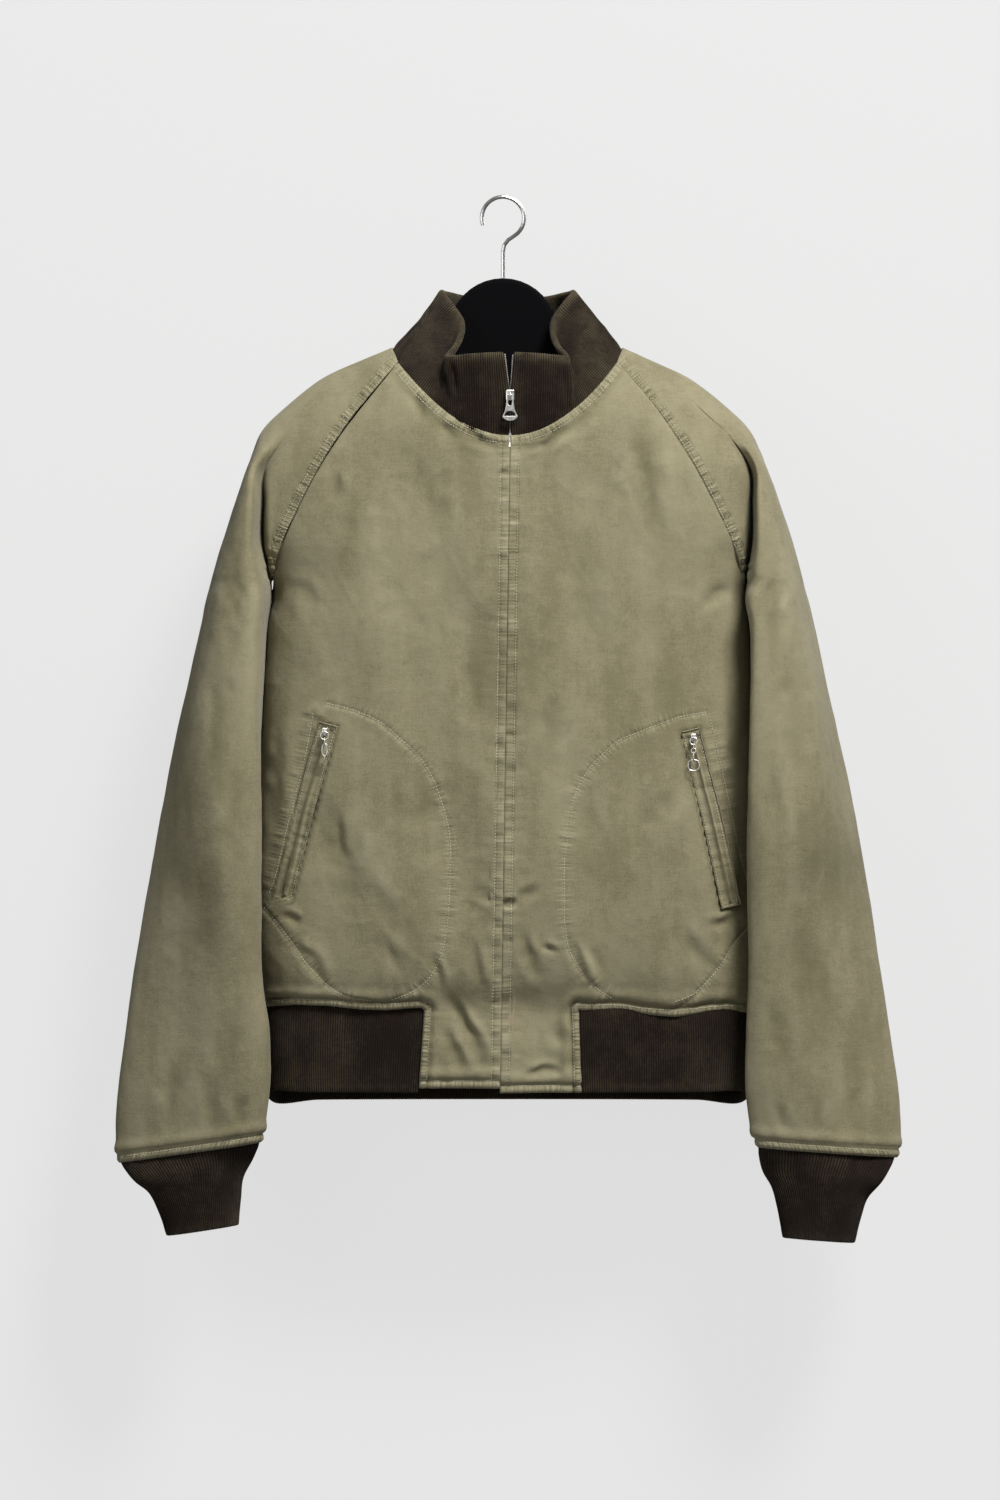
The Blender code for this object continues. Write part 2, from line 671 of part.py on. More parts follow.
def loft(name, grids, thickness, group, finish, flip=False):
    """A cloth wall through grids of points, joined where their points coincide."""
    shape = bmesh.new()
    known = {}

    def vertex(point):
        key = tuple(round(value, 3) for value in point)
        if key not in known:
            known[key] = shape.verts.new((point + Vector((CENTRE_X, 0, 0))) * MM)
        return known[key]

    for rows in grids:
        for upper, lower in zip(rows, rows[1:]):
            for a, b, c, d in zip(upper, upper[1:], lower[1:], lower):
                corners = list(dict.fromkeys(vertex(point) for point in (a, b, c, d)))
                if len(corners) > 2 and shape.faces.get(corners) is None:
                    shape.faces.new(corners[::-1] if flip else corners)
    mesh = bpy.data.meshes.new(name)
    shape.to_mesh(mesh)
    shape.free()
    mesh.shade_smooth()
    made = object_of(name, mesh, group, finish)
    wall = made.modifiers.new("wall", "SOLIDIFY")
    wall.thickness = thickness * MM
    wall.offset = -1.0
    return made


def build_cloth(group, finishes):
    cloth, knit = finishes["cloth"], finishes["knit"]
    for side, word in ((-1, "left"), (1, "right")):
        rows = trimmed(front_rows(side), ("start", "end", "top"))
        tab_columns = [row[:3] for row in rows[-1:]] + trimmed(tab_rows(side), ("start", "end"))
        loft(f"front_{word}", (rows, tab_columns), CLOTH, group, cloth, flip=side > 0)
        loft(f"sleeve_{word}", (sleeve_rows(side),), CLOTH, group, cloth, flip=side < 0)
        cuff = trimmed(cuff_rows(side), ("top",), KNIT_GAP)
        loft(f"cuff_{word}", (cuff,), KNIT, group, knit, flip=side < 0)
    loft("back", (trimmed(back_rows(), ("start", "end", "top", "bottom")),), CLOTH, group, cloth)
    collar = trimmed(trimmed(collar_rows(), ("start", "end")), ("top",), KNIT_GAP)
    loft("collar", (collar,), KNIT, group, knit, flip=True)
    loft("hem_rib", (trimmed(rib_rows(), ("start", "end", "top")),), KNIT, group, knit)


def surface_spot(x, z, out):
    """A point this far in front of the front panel at x and z."""
    step = 1.0
    here = Vector((x, depth(x, z, -1), z))
    across = Vector((x + step, depth(x + step, z, -1), z)) - here
    down = Vector((x, depth(x, z - step, -1), z - step)) - here
    return here + down.cross(across).normalized() * out


def tape_rows(side):
    """A zip tape behind a front edge, up through the collar to its upper edge."""
    rows = []
    for i in range(5):
        height = 1 - i / 4
        edge = collar_point(0.0, height, side)
        behind = edge.y + KNIT + TAPE_LAP
        far = Vector((edge.x + side * TAPE_WIDTH, behind, edge.z))
        shows = side * TAPE_SHOWS * max(0.0, 2 * height - 1)
        rows.append([Vector((edge.x - shows, behind, edge.z)), far])
    heights = [row.zip for row in CAP_ROWS[1:]] + list(SIDE_ROWS)
    heights += [mix(HEM_SEAM_Z, TAB_END_Z[side] + TAPE_END, share) for share in (0.25, 0.5, 0.75, 1.0)]
    for z in heights:
        behind = depth(zip_x(z), z, -1) + CLOTH + LAP
        start = zip_x(z)
        rows.append([Vector((start, behind, z)), Vector((start + side * TAPE_WIDTH, behind, z))])
    return rows


def pocket_line(side, share, off, out):
    """A point of a pocket: share along its length, off to the side of its middle line."""
    top, end = Vector(POCKET_TOP[side]), Vector(POCKET_END[side])
    along = (end - top).normalized()
    spot = top.lerp(end, share) + Vector((-along.y, along.x)) * off
    return surface_spot(spot.x, spot.y, out)


def pocket_length(side):
    return (Vector(POCKET_END[side]) - Vector(POCKET_TOP[side])).length


def build_pocket(side, word, group, helpers, finishes):
    margin = WELT_END / pocket_length(side)
    shares = [0.0] + [mix(margin, 1 - margin, i / WELT_STEPS) for i in range(WELT_STEPS + 1)] + [1.0]
    half = (SLIT_WIDTH / 2, WELT_WIDTH / 4, WELT_WIDTH / 2)
    offs = [-off for off in half[::-1]] + list(half)
    rows = [[pocket_line(side, share, off, LAP + CLOTH) for off in offs] for share in shares]
    grids = ([row[:3] for row in rows], [row[3:] for row in rows])
    grids += ([row[2:4] for row in rows[:2]], [row[2:4] for row in rows[-2:]])
    loft(f"pocket_welt_{word}", grids, CLOTH, group, finishes["cloth"], flip=True)
    reach = SLIT_WIDTH / 2 - SLIT_MARGIN
    inner = [mix(margin, 1 - margin, (i + 0.05) / (WELT_STEPS + 0.1)) for i in range(WELT_STEPS + 1)]
    strip = [[pocket_line(side, share, off, LAP + TAPE) for off in (-reach, reach)] for share in inner]
    loft(f"pocket_zip_{word}", (strip,), TAPE, group, finishes["tape"], flip=True)
    out = LAP + CLOTH + LAP + POCKET_SLIDER_SIZE[1] + SLIT_MARGIN
    face = pocket_line(side, SLIDER_PLACE * margin, 0, out)
    slider = build_slider(
        f"pocket_slider_{word}", face, POCKET_SLIDER_SIZE, POCKET_BRIDGE, CHAIN_WIRE + 0.05, group, helpers,
        finishes["nickel"],
    )
    pivot = slider.location / MM + Vector((0, -POCKET_SLIDER_SIZE[1] / 2 - POCKET_PIVOT_OUT, 0))
    hang_chain(side, word, pivot, group, finishes["nickel"])


def hang_chain(side, word, pivot, group, finish):
    """The pull's links, one through the next, under an empty on the pivot."""
    swing = bpy.data.objects.new(f"pocket_pull_{word}_pivot", None)
    swing.location = pivot * MM
    group.objects.link(swing)
    held = pivot.z
    links = CHAINS[side]
    for i, link in enumerate(links):
        centre = Vector((pivot.x, pivot.y, held - link.half_height))
        last = i == len(links) - 1
        name = f"pocket_ring_{word}" if last else f"pocket_link_{word}_{i + 1}"
        made = build_link(name, link, group, finish)
        made.parent = swing
        made.location = (centre - pivot) * MM
        held = centre.z - link.half_height + 2 * CHAIN_WIRE + CHAIN_GAP


def build_link(name, link, group, finish):
    """A closed ring of wire in the XZ plane, or in the YZ plane if it is seen edge on."""
    points = []
    for i in range(LINK_STEPS):
        turn = math.tau * i / LINK_STEPS
        points.append((link.half_width * bulge(math.sin(turn)), 0, link.half_height * bulge(math.cos(turn))))
    made = wire(name, points, CHAIN_WIRE, group, finish, cyclic=True)
    made.rotation_euler.z = 0.0 if link.faces_front else math.pi / 2
    return made


def wire(name, points, radius, group, finish, cyclic=False):
    curve = bpy.data.curves.new(name, "CURVE")
    curve.dimensions = "3D"
    curve.bevel_depth = radius * MM
    curve.bevel_resolution = 2
    curve.use_fill_caps = True
    line = curve.splines.new("POLY")
    line.points.add(len(points) - 1)
    for point, place in zip(line.points, points):
        point.co = (place[0] * MM, place[1] * MM, place[2] * MM, 1.0)
    line.use_cyclic_u = cyclic
    return object_of(name, curve, group, finish)


def plate(name, outlines, thick, edge, group, finish):
    """A flat piece that faces the front: closed outlines in x and z, with its edges rounded."""
    curve = bpy.data.curves.new(name, "CURVE")
    curve.dimensions = "2D"
    curve.fill_mode = "BOTH"
    curve.extrude = (thick / 2 - edge) * MM
    curve.bevel_depth = edge * MM
    curve.bevel_resolution = 1
    for outline in outlines:
        line = curve.splines.new("POLY")
        line.points.add(len(outline) - 1)
        for point, (x, z) in zip(line.points, outline):
            point.co = (x * MM, z * MM, 0.0, 1.0)
        line.use_cyclic_u = True
    made = object_of(name, curve, group, finish)
    made.rotation_euler.x = math.pi / 2
    return made


def mirrored(half):
    """A closed outline from its right half, listed downwards."""
    return list(half) + [(-x, z) for x, z in half[::-1] if x > 1e-6]


def inset(outline, by):
    """A clockwise outline moved in by this much, or out if it is negative."""
    moved = []
    for i, spot in enumerate(outline):
        before, here, after = Vector(outline[i - 1]), Vector(spot), Vector(outline[(i + 1) % len(outline)])
        one, two = (here - before).normalized(), (after - here).normalized()
        bisector = (one + two).normalized()
        inward = Vector((bisector.y, -bisector.x))
        moved.append(here + inward * by / max(bisector.dot(one), 0.5))
    return moved


def build_slider(name, face, size, bridge_radius, wire_radius, group, helpers, finish):
    """A slider's body with a bridge of wire on its face. face: middle of its front, from the centre line."""
    centre = (face + Vector((CENTRE_X, size[1] / 2, 0))) * MM
    bpy.ops.mesh.primitive_cube_add(size=1, location=centre)
    body = bpy.context.object
    body.name = name
    body.scale = [side * MM for side in size]
    bpy.ops.object.transform_apply(location=False, rotation=False, scale=True)
    move_to(body, group)
    body.data.materials.append(finish)
    rounding = body.modifiers.new("rounding", "BEVEL")
    rounding.width = SLIDER_ROUNDING * MM
    rounding.segments = 2
    bpy.ops.mesh.primitive_torus_add(
        major_radius=bridge_radius * MM, minor_radius=wire_radius * MM, major_segments=24, minor_segments=8,
        location=centre - Vector((0, size[1] / 2 * MM, 0)), rotation=(0, math.pi / 2, 0),
    )
    bridge = bpy.context.object
    bridge.name = f"{name}_bridge"
    bridge.display_type = "WIRE"
    bridge.hide_render = True
    move_to(bridge, helpers)
    join = body.modifiers.new("bridge", "BOOLEAN")
    join.operation = "UNION"
    join.object = bridge
    return body


def move_to(obj, group):
    for old in list(obj.users_collection):
        old.objects.unlink(obj)
    group.objects.link(obj)


def build_zip(group, helpers, finishes):
    for side, word in ((-1, "left"), (1, "right")):
        tape = trimmed(tape_rows(side), ("start",))
        loft(f"zip_tape_{word}", (tape,), TAPE, group, finishes["tape"], flip=side > 0)
    collar_y = min(collar_point(0.0, 0.5, -1).y, collar_point(0.0, 0.6, -1).y)
    face = Vector((ZIP_TOP_X, collar_y - LAP - SLIDER_SIZE[1], SLIDER_Z))
    slider = build_slider(
        "zip_slider", face, SLIDER_SIZE, BRIDGE_RADIUS, BRIDGE_WIRE, group, helpers, finishes["nickel"]
    )
    outlines = [inset(mirrored(PULL_OUTLINE), PULL_EDGE)]
    outlines += [inset(mirrored(hole), -PULL_EDGE) for hole in (PULL_SLOT, PULL_HOLE)]
    pull = plate("zip_pull", outlines, PULL_THICK, PULL_EDGE, group, finishes["nickel"])
    pull.location = slider.location - Vector((0, (SLIDER_SIZE[1] / 2 + PIVOT_OUT) * MM, 0))


def ridge_z(x):
    """Height of the shoulder's ridge at this distance from the centre line."""
    rows = [row for row in BODY if row.z >= TIP_Z]
    return hermite([row.wide for row in rows], [row.z for row in rows], x)


def build_hanger(group, finishes):
    half = []
    for i in range(HEAD_STEPS + 1):
        turn = math.radians(90 - HEAD_SPAN * i / HEAD_STEPS)
        half.append((HEAD_RADIUS * math.cos(turn), HEAD_Z + HEAD_RADIUS * math.sin(turn)))
    half.append(ARM_START)
    for x in ARM_PLACES:
        half.append((x, ridge_z(max(x + CENTRE_X, NECK_HALF_WIDTH)) - HANGER_DROP))
    half += list(ARM_UNDERSIDE)
    outline = inset(mirrored(half), HANGER_EDGE)
    plate("hanger_body", (outline,), HANGER_THICK, HANGER_EDGE, group, finishes["black"])
    hook = [Vector((x, 0, z)) for x, z in HOOK_FOOT]
    middle = Vector((0, 0, WIRE_RADIUS - HOOK_RADIUS))
    for i in range(HOOK_STEPS + 1):
        turn = math.radians(HOOK_START + HOOK_SPAN * i / HOOK_STEPS)
        hook.append(middle + Vector((math.cos(turn), 0, math.sin(turn))) * HOOK_RADIUS)
    wire("hanger_hook", hook, WIRE_RADIUS, group, finishes["steel"])


def clear_scene():
    for old in list(bpy.data.objects):
        bpy.data.objects.remove(old)


def main():
    clear_scene()
    group = collection(OBJECT_NAME)
    helpers = collection("bridges", hidden=True)
    finishes = {
        "cloth": material("olive_cotton", (0.205, 0.187, 0.105), 0.9),
        "knit": material("brown_knit", (0.028, 0.019, 0.014), 0.95),
        "tape": material("beige_tape", (0.33, 0.27, 0.18), 0.9),
        "nickel": material("nickel", (0.72, 0.70, 0.66), 0.25, 1.0),
        "black": material("black_hanger", (0.006, 0.006, 0.007), 0.7),
        "steel": material("steel_wire", (0.62, 0.61, 0.60), 0.3, 1.0),
    }
    build_cloth(group, finishes)
    build_zip(group, helpers, finishes)
    for side, word in ((-1, "left"), (1, "right")):
        build_pocket(side, word, group, helpers, finishes)
    build_hanger(group, finishes)


main()
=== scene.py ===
"""Tanker jacket on a hanger: its cloth, knit, stitching, zips and hanger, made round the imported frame.

Lengths are in millimetres until a mesh is made. Heights (z) are measured down from the inside of the hook's
bend, x in the tables from the jacket's own centre line. Side -1 is the viewer's left, and the zip faces -Y.
"""

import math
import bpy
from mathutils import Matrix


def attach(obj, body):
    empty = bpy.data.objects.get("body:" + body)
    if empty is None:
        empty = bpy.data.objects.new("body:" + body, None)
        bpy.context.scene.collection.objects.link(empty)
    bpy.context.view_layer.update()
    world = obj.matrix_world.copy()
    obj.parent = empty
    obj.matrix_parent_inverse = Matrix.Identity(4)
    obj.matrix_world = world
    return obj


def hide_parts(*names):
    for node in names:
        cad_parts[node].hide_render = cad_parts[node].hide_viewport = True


bl_info = {
    "name": "Tanker Jacket",
    "version": (1, 0, 0),
    "blender": (4, 5, 0),
    "location": "3D View > Sidebar > Jacket",
    "description": "Builds a tanker jacket on its hanger round a packed frame",
    "category": "Add Mesh",
}

from collections import namedtuple

import bpy
import bmesh
import numpy as np
from mathutils import Vector
from mathutils.bvhtree import BVHTree

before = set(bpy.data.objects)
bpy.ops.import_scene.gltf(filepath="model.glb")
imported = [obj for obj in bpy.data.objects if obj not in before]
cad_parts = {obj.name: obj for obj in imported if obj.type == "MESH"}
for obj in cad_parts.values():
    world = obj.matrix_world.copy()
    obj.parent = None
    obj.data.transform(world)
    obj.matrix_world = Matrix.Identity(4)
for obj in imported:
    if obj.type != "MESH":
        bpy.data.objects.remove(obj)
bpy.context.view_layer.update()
BODY_NAME = "jacket"
MM = 0.001

# Driving dimensions
CENTRE_X = 4.0  # the jacket has slipped this far to the right of the hook
CLOTH = 1.3
KNIT = 2.6
TAPE = 0.8
NECK_FRONT_Z = -212.0
NECK_SIDE_Z = -133.0
NECK_BACK_Z = -153.0
NECK_HALF_WIDTH = 102.0
FRONT_SEAM_TOP = (96.5, -146.0)  # x and z where the front raglan seam leaves the neck
BACK_SEAM_TOP = (78.0, -141.0)
TIP_Z = -206.0  # shoulder tip, over the hanger's end
FOLD_END_Z = -333.0  # where the raglan seam goes round the body's side fold
ARMPIT_Z = -345.0
ARMPIT_X = 210.6
HEM_SEAM_Z = -717.0
CUFF_SEAM_Z = -843.0
ZIP_TOP_X = 2.2
ZIP_END_X = -6.6
ZIP_OPEN_X = {-1: -5.0, 1: 3.0}  # how far the collar's two ends part at the upper edge
TAB_X = {-1: (-73.5, -78.0), 1: (63.0, 65.5)}  # outer edge of each tab at the hem seam and at its end
TAB_END_Z = {-1: -786.0, 1: -790.0}
CUFF_TILT = {-1: 9.5, 1: 5.0}  # how far each end of the cuff seam is above or below its middle
CUFF_TILT_START_Z = -700.0
SLEEVE_HALF_WIDTH = 62.0
NECK_SIDE_SHARES = (0.5, 0.55, 0.6, 0.66, 0.72)  # places on the neck ring along the sleeve
RIB_FRONT_Z = -788.5
RIB_BACK_Z = -798.5
BACK_SEAM_INWARD = 15.0  # how much nearer the centre the back raglan seam starts than the front one
DRAPE_START = 12.0  # above the shoulder tip, where the sleeve begins to hang free
DRAPE_END = 34.0  # below the tip, where it hangs in its own folds
GROOVE_SHARES = (0.5, 0.62, 0.74)  # places of fold, groove and lip between the seam and the ridge
LEAST_LIP = 4.0  # from the groove to the sleeve's front edge
LEAST_TURN = 0.65  # limits the sleeve's inner fullness where its section lies across
SQUARENESS = 2.4  # of the sleeve's ovals
NECK_SIDE_END = 0.6  # place on the neck ring of the point above the shoulder
NECK_BACK_START = 0.72  # place where the back raglan seam meets it
COLLAR_FRONT = 0.1  # part of the ring over which the collar's ends part
COLLAR_HEIGHTS = (0.0, 0.25, 0.5, 0.75, 1.0)
RIB_HEIGHTS = (0.0, 0.35, 0.7, 1.0)
RIB_FRONT_PARTS = (0.0, 0.25, 0.5, 0.75)
RIB_BACK_PARTS = (0.8, 0.6, 0.4, 0.2, 0.0)
RIB_SIDE_SHARE = 0.3  # how far the rib's side has dropped from its front to its back length
TAPE_END = 4.0  # a tape stops this far above the tab's end

# The body's horizontal sections. wide: half-width of the full curve; fold: half-width at the side fold;
# front and back: depth before and behind the centre plane; power: squareness of the curve.
Body = namedtuple("Body", "z wide fold front back power")
BODY = (
    Body(-133, 102, 95, 20, 26, 2.0),
    Body(-146, 130, 121, 34, 40, 2.0),
    Body(-161, 161, 150, 45, 49, 2.05),
    Body(-176, 182, 171, 52, 53, 2.1),
    Body(-192, 200, 190, 57, 56, 2.15),
    Body(-206, 214, 203, 59.5, 58, 2.2),
    Body(-220, 228, 209, 61, 59, 2.25),
    Body(-251, 250, 211, 63, 60, 2.3),
    Body(-293, 240, 211, 66, 61, 2.45),
    Body(-333, 214, 208, 68, 61, 2.7),
    Body(-345, 209, 205, 68.5, 61, 2.75),
    Body(-377, 213, 209, 69, 61, 2.8),
    Body(-440, 217, 213, 70, 60, 2.8),
    Body(-520, 220, 216, 71, 59, 2.8),
    Body(-600, 222, 218, 71, 59, 2.8),
    Body(-660, 223, 219, 69, 58, 2.8),
    Body(-695, 221, 217, 63, 54, 2.8),
    Body(-717, 216, 212, 55, 49, 2.8),
    Body(-750, 217, 213, 56, 50, 2.8),
    Body(-799, 214, 210, 53, 48, 2.8),
)

# The raglan seam, seen from the front
Seam = namedtuple("Seam", "z x")
RAGLAN = (
    Seam(-141, 93),
    Seam(-146, 96.5),
    Seam(-161, 108.5),
    Seam(-176, 121),
    Seam(-197, 137.5),
    Seam(-218, 152),
    Seam(-240, 165.5),
    Seam(-262, 177),
    Seam(-285, 188.5),
    Seam(-308, 199),
    Seam(-333, 208),
)

# The groove between body and sleeve, from the shoulder tip to the armpit. lip: the sleeve's front edge.
Groove = namedtuple("Groove", "z groove_x groove_y lip_left lip_right lip_y outer")
GROOVE = (
    Groove(-206, 207.5, 17, 211, 211, 12, 214),
    Groove(-220, 212.5, 20, 217, 216.5, 23, 220.5),
    Groove(-235, 214.5, 21, 222, 219, 36, 226),
    Groove(-251, 215.5, 20, 225, 220, 46, 232),
    Groove(-293, 216, 17, 226.5, 220.5, 61, 247),
    Groove(-333, 212, 8, 227, 220, 70, 259),
    Groove(-345, ARMPIT_X, 0, 227, 219.8, 72, 262.5),
)

# The sleeve below the armpit. tip: front edge; tail: back edge; out: fullness away from the body;
# outer: where it is widest; under: x of the underarm seam.
Tube = namedtuple("Tube", "z tip_left tip_right tip_y tail_x tail_y out outer under")
TUBE = (
    Tube(-351, 227, 219.8, 73, 224, -66, 38, 264, 214.5),
    Tube(-377, 228, 219, 76, 228, -66, 43, 270, 217),
    Tube(-433, 227.5, 217, 79, 236, -64, 51, 282.5, 220),
    Tube(-489, 226.5, 215, 80, 248, -58, 54, 295, 224),
    Tube(-546, 223, 214.3, 79, 270, -44, 48, 306, 231),
    Tube(-620, 221.4, 213.4, 72, 303, -20, 33, 319, 247),
    Tube(-681, 219.6, 213.2, 64, 322, -2, 26, 329, 258),
    Tube(-742, 216.5, 213, 57, 333, 10, 22, 337, 264),
    Tube(-800, 213.6, 214, 50, 341, 16, 20, 344, 268),
    Tube(-825, 214.3, 214.8, 47, 342, 18, 18, 344.5, 269),
    Tube(-843, 217, 220, 45, 340, 20, 16, 342, 269),
)

# The cuffs' sections, from the seam to the end. depth: front to back.
Cuff = namedtuple("Cuff", "inner_x inner_z outer_x outer_z depth")
CUFFS = {
    -1: (
        Cuff(224.5, -851, 327, -870, 36),
        Cuff(231.5, -865, 317, -880, 33),
        Cuff(234, -884, 309, -896, 30),
        Cuff(236.5, -906, 301.4, -915.6, 28),
    ),
    1: (
        Cuff(225.5, -860, 330, -870, 36),
        Cuff(233, -872, 319.5, -883, 33),
        Cuff(238, -890, 313.5, -899, 30),
        Cuff(243.5, -917, 306.8, -921.8, 28),
    ),
}
CUFF_Y = -31.0

# The collar's upper edge against its place on the neck ring (0 at the zip, 1 at the centre back)
Rim = namedtuple("Rim", "share x y height")
RIM = (
    Rim(0.0, 0, -61.5, -141),
    Rim(0.1, 20, -61, -141.5),
    Rim(0.2, 40, -59, -143),
    Rim(0.28, 55, -54, -144.5),
    Rim(0.33, 51, -43, -136.5),
    Rim(0.39, 42, -34, -126),
    Rim(0.46, 40, -22, -112),
    Rim(0.53, 49, -9, -96),
    Rim(0.6, 60, 4, -82),
    Rim(0.7, 53, 21, -83),
    Rim(0.8, 39, 33, -86),
    Rim(0.9, 20, 39, -88),
    Rim(1.0, 0, 41, -88.5),
)

# Where each kind of cloth is divided
PANEL_SHARES = (0.2, 0.4, 0.58, 0.75, 0.88, 1.0)  # from the tab's edge to the side fold
BACK_SHARES = (0.0, 0.18, 0.36, 0.54, 0.7, 0.84, 1.0)  # from the centre back to the side fold
SIDE_SHARES = (0.62, 0.3, 0.0)  # of the side fold's angle, down to the side seam
Cap = namedtuple("Cap", "front_seam ridge back_seam zip back_middle")  # heights of a row round the shoulder
CAP_ROWS = (
    Cap(-146, -133, -141, -212, -153),
    Cap(-163, -146, -160, -222, -168),
    Cap(-182, -163, -181, -234, -186),
    Cap(-203, -184, -203, -248, -207),
    Cap(-226, -208, -226, -263, -229),
    Cap(-250, -236, -250, -281, -252),
    Cap(-277, -268, -277, -300, -278),
    Cap(-305, -301, -305, -319, -306),
    Cap(FOLD_END_Z, FOLD_END_Z, FOLD_END_Z, -338, -334),
)
SIDE_ROWS = (ARMPIT_Z, -377, -430, -490, -550, -610, -655, -690, HEM_SEAM_Z)
LAST_PANEL_ROW = len(CAP_ROWS + SIDE_ROWS) - 1  # at the hem seam
TAB_COLUMNS = 3
TUBE_ROWS = (-351, -377, -420, -470, -520, -570, -620, -681, -742, -800, -825, CUFF_SEAM_Z)
CAP_SPANS = (3, 2, 4, 5)  # seam to fold, fold to groove, groove to lip, lip to ridge

SLIDER_Z = -176.8
TAPE_WIDTH = 12.0
TAPE_SHOWS = 1.0

# Pockets
POCKET_TOP = {-1: (-157.3, -465.5), 1: (160.3, -470.5)}  # middle of each welt's upper end
POCKET_END = {-1: (-198.0, -620.5), 1: (196.2, -626.5)}
WELT_WIDTH = 17.0
WELT_STEP = 1.25  # between its rows of points
WELT_COLUMNS = 29
WELT_ROW = 1.9  # from a welt's side to its stitching
WELT_END_ROW = 1.6
WELT_END_REACH = 6.4
WELT_HEIGHT = 1.25
LIP_HEIGHT = 3.1  # from the bottom of the slit
SLIT_DEPTH = 1.4
SLIT_OPEN = {-1: 1.0, 1: 0.45}  # the left pocket's slit opens more
WELT_END = 4.5  # from each end of the welt to its slit
POCKET_TOOTH_PITCH = 1.1
POCKET_TOOTH_HALF = (0.4, 0.5, 0.85)
POCKET_TOOTH_SHIFT = 0.12  # every other tooth to either side
POCKET_TEETH_DEEP = 0.9  # behind the front's own surface
POCKET_TAPE_DEEP = 1.9
POCKET_TAPE_COLUMNS = (-1.2, 0.0, 1.2)
LAP = 0.45  # space between a piece and the panel that it lies on
TAPE_LAP = 0.75  # the same behind the collar, whose wall leans


def hermite(keys, values, at):
    """A smooth curve through (keys, values) that doesn't overshoot them."""
    if keys[0] > keys[-1]:
        keys = [-key for key in keys]
        at = -at
    at = min(max(at, keys[0]), keys[-1])
    spot = max(i for i in range(len(keys) - 1) if keys[i] <= at)
    steps = [b - a for a, b in zip(keys, keys[1:])]
    rises = [(b - a) / step for a, b, step in zip(values, values[1:], steps)]

    def slope(i):
        if i == 0:
            return rises[0]
        if i == len(rises):
            return rises[-1]
        before, after = rises[i - 1], rises[i]
        return 0.0 if before * after <= 0 else 2 * before * after / (before + after)

    step = steps[spot]
    t = (at - keys[spot]) / step
    return (
        values[spot] * (2 * t**3 - 3 * t**2 + 1)
        + values[spot + 1] * (3 * t**2 - 2 * t**3)
        + slope(spot) * step * (t**3 - 2 * t**2 + t)
        + slope(spot + 1) * step * (t**3 - t**2)
    )


def read(table, column, at):
    """A column's value at this place in the table's first column."""
    return hermite([row[0] for row in table], [getattr(row, column) for row in table], at)


def mix(a, b, share):
    return a + (b - a) * share


def fade(z, start, end):
    """0 above start, 1 below end, smooth between."""
    t = min(max((start - z) / (start - end), 0.0), 1.0)
    return t * t * (3 - 2 * t)


def depth(x, z, face):
    """y of the body's front (face -1) or back (face 1) at x and z."""
    power = read(BODY, "power", z)
    reach = min(abs(x) / read(BODY, "wide", z), 1.0)
    column = "front" if face < 0 else "back"
    return face * read(BODY, column, z) * (1 - reach**power) ** (1 / power)


def side_point(z, share, side, face):
    """A point of the body's section between the side fold (share 1) and the side seam (share 0)."""
    power = read(BODY, "power", z)
    wide = read(BODY, "wide", z)
    angle = math.acos((read(BODY, "fold", z) / wide) ** (power / 2)) * share
    column = "front" if face < 0 else "back"
    x = side * wide * math.cos(angle) ** (2 / power)
    y = face * read(BODY, column, z) * math.sin(angle) ** (2 / power)
    return Vector((x, y, z))


def zip_x(z):
    return mix(ZIP_TOP_X, ZIP_END_X, (z - NECK_FRONT_Z) / (TAB_END_Z[-1] - NECK_FRONT_Z))


def seam_x(z, face):
    """The raglan seam's distance from the centre on the front or the back."""
    inward = 0.0
    if face > 0:
        inward = BACK_SEAM_INWARD * (1 - fade(z, BACK_SEAM_TOP[1], FOLD_END_Z))
    return read(RAGLAN, "x", z) - inward


def panel_edge(z, face):
    """Where a front or back panel's flat part ends: at the raglan seam, then at the side fold."""
    if z >= FOLD_END_Z:
        return seam_x(z, face)
    return read(BODY, "fold", z)


def side_points(z, side, face):
    """The panel's last points, round to the side seam, all at the raglan seam above the armpit."""
    if z > ARMPIT_Z:
        x = side * panel_edge(z, face)
        return [Vector((x, depth(x, z, face), z))] * len(SIDE_SHARES)
    return [side_point(z, share, side, face) for share in SIDE_SHARES]


def panel_row(side, face, outer_z, inner_z, start_x, shares):
    """One row of a panel, from its inner edge to the side seam, steeper towards the outside."""
    row = []
    edge_x = side * panel_edge(outer_z, face)
    for share in shares:
        z = mix(inner_z, outer_z, share * share)
        x = mix(start_x, edge_x, share)
        row.append(Vector((x, depth(x, z, face), z)))
    return row + side_points(outer_z, side, face)


def front_shares(side):
    """Column places from the zip to the side fold, one of them at the tab's edge."""
    start = zip_x(HEM_SEAM_Z)
    edge = side * read(BODY, "fold", HEM_SEAM_Z)
    tab = (TAB_X[side][0] - start) / (edge - start)
    return [0.0, tab / 2, tab] + [mix(tab, 1.0, share) for share in PANEL_SHARES]


def front_rows(side):
    shares = front_shares(side)
    heights = [(row.front_seam, row.zip) for row in CAP_ROWS]
    heights += [(z, z - 3 if z == ARMPIT_Z else z) for z in SIDE_ROWS]
    return [
        panel_row(side, -1, outer_z, inner_z, zip_x(inner_z), shares)
        for outer_z, inner_z in heights
    ]


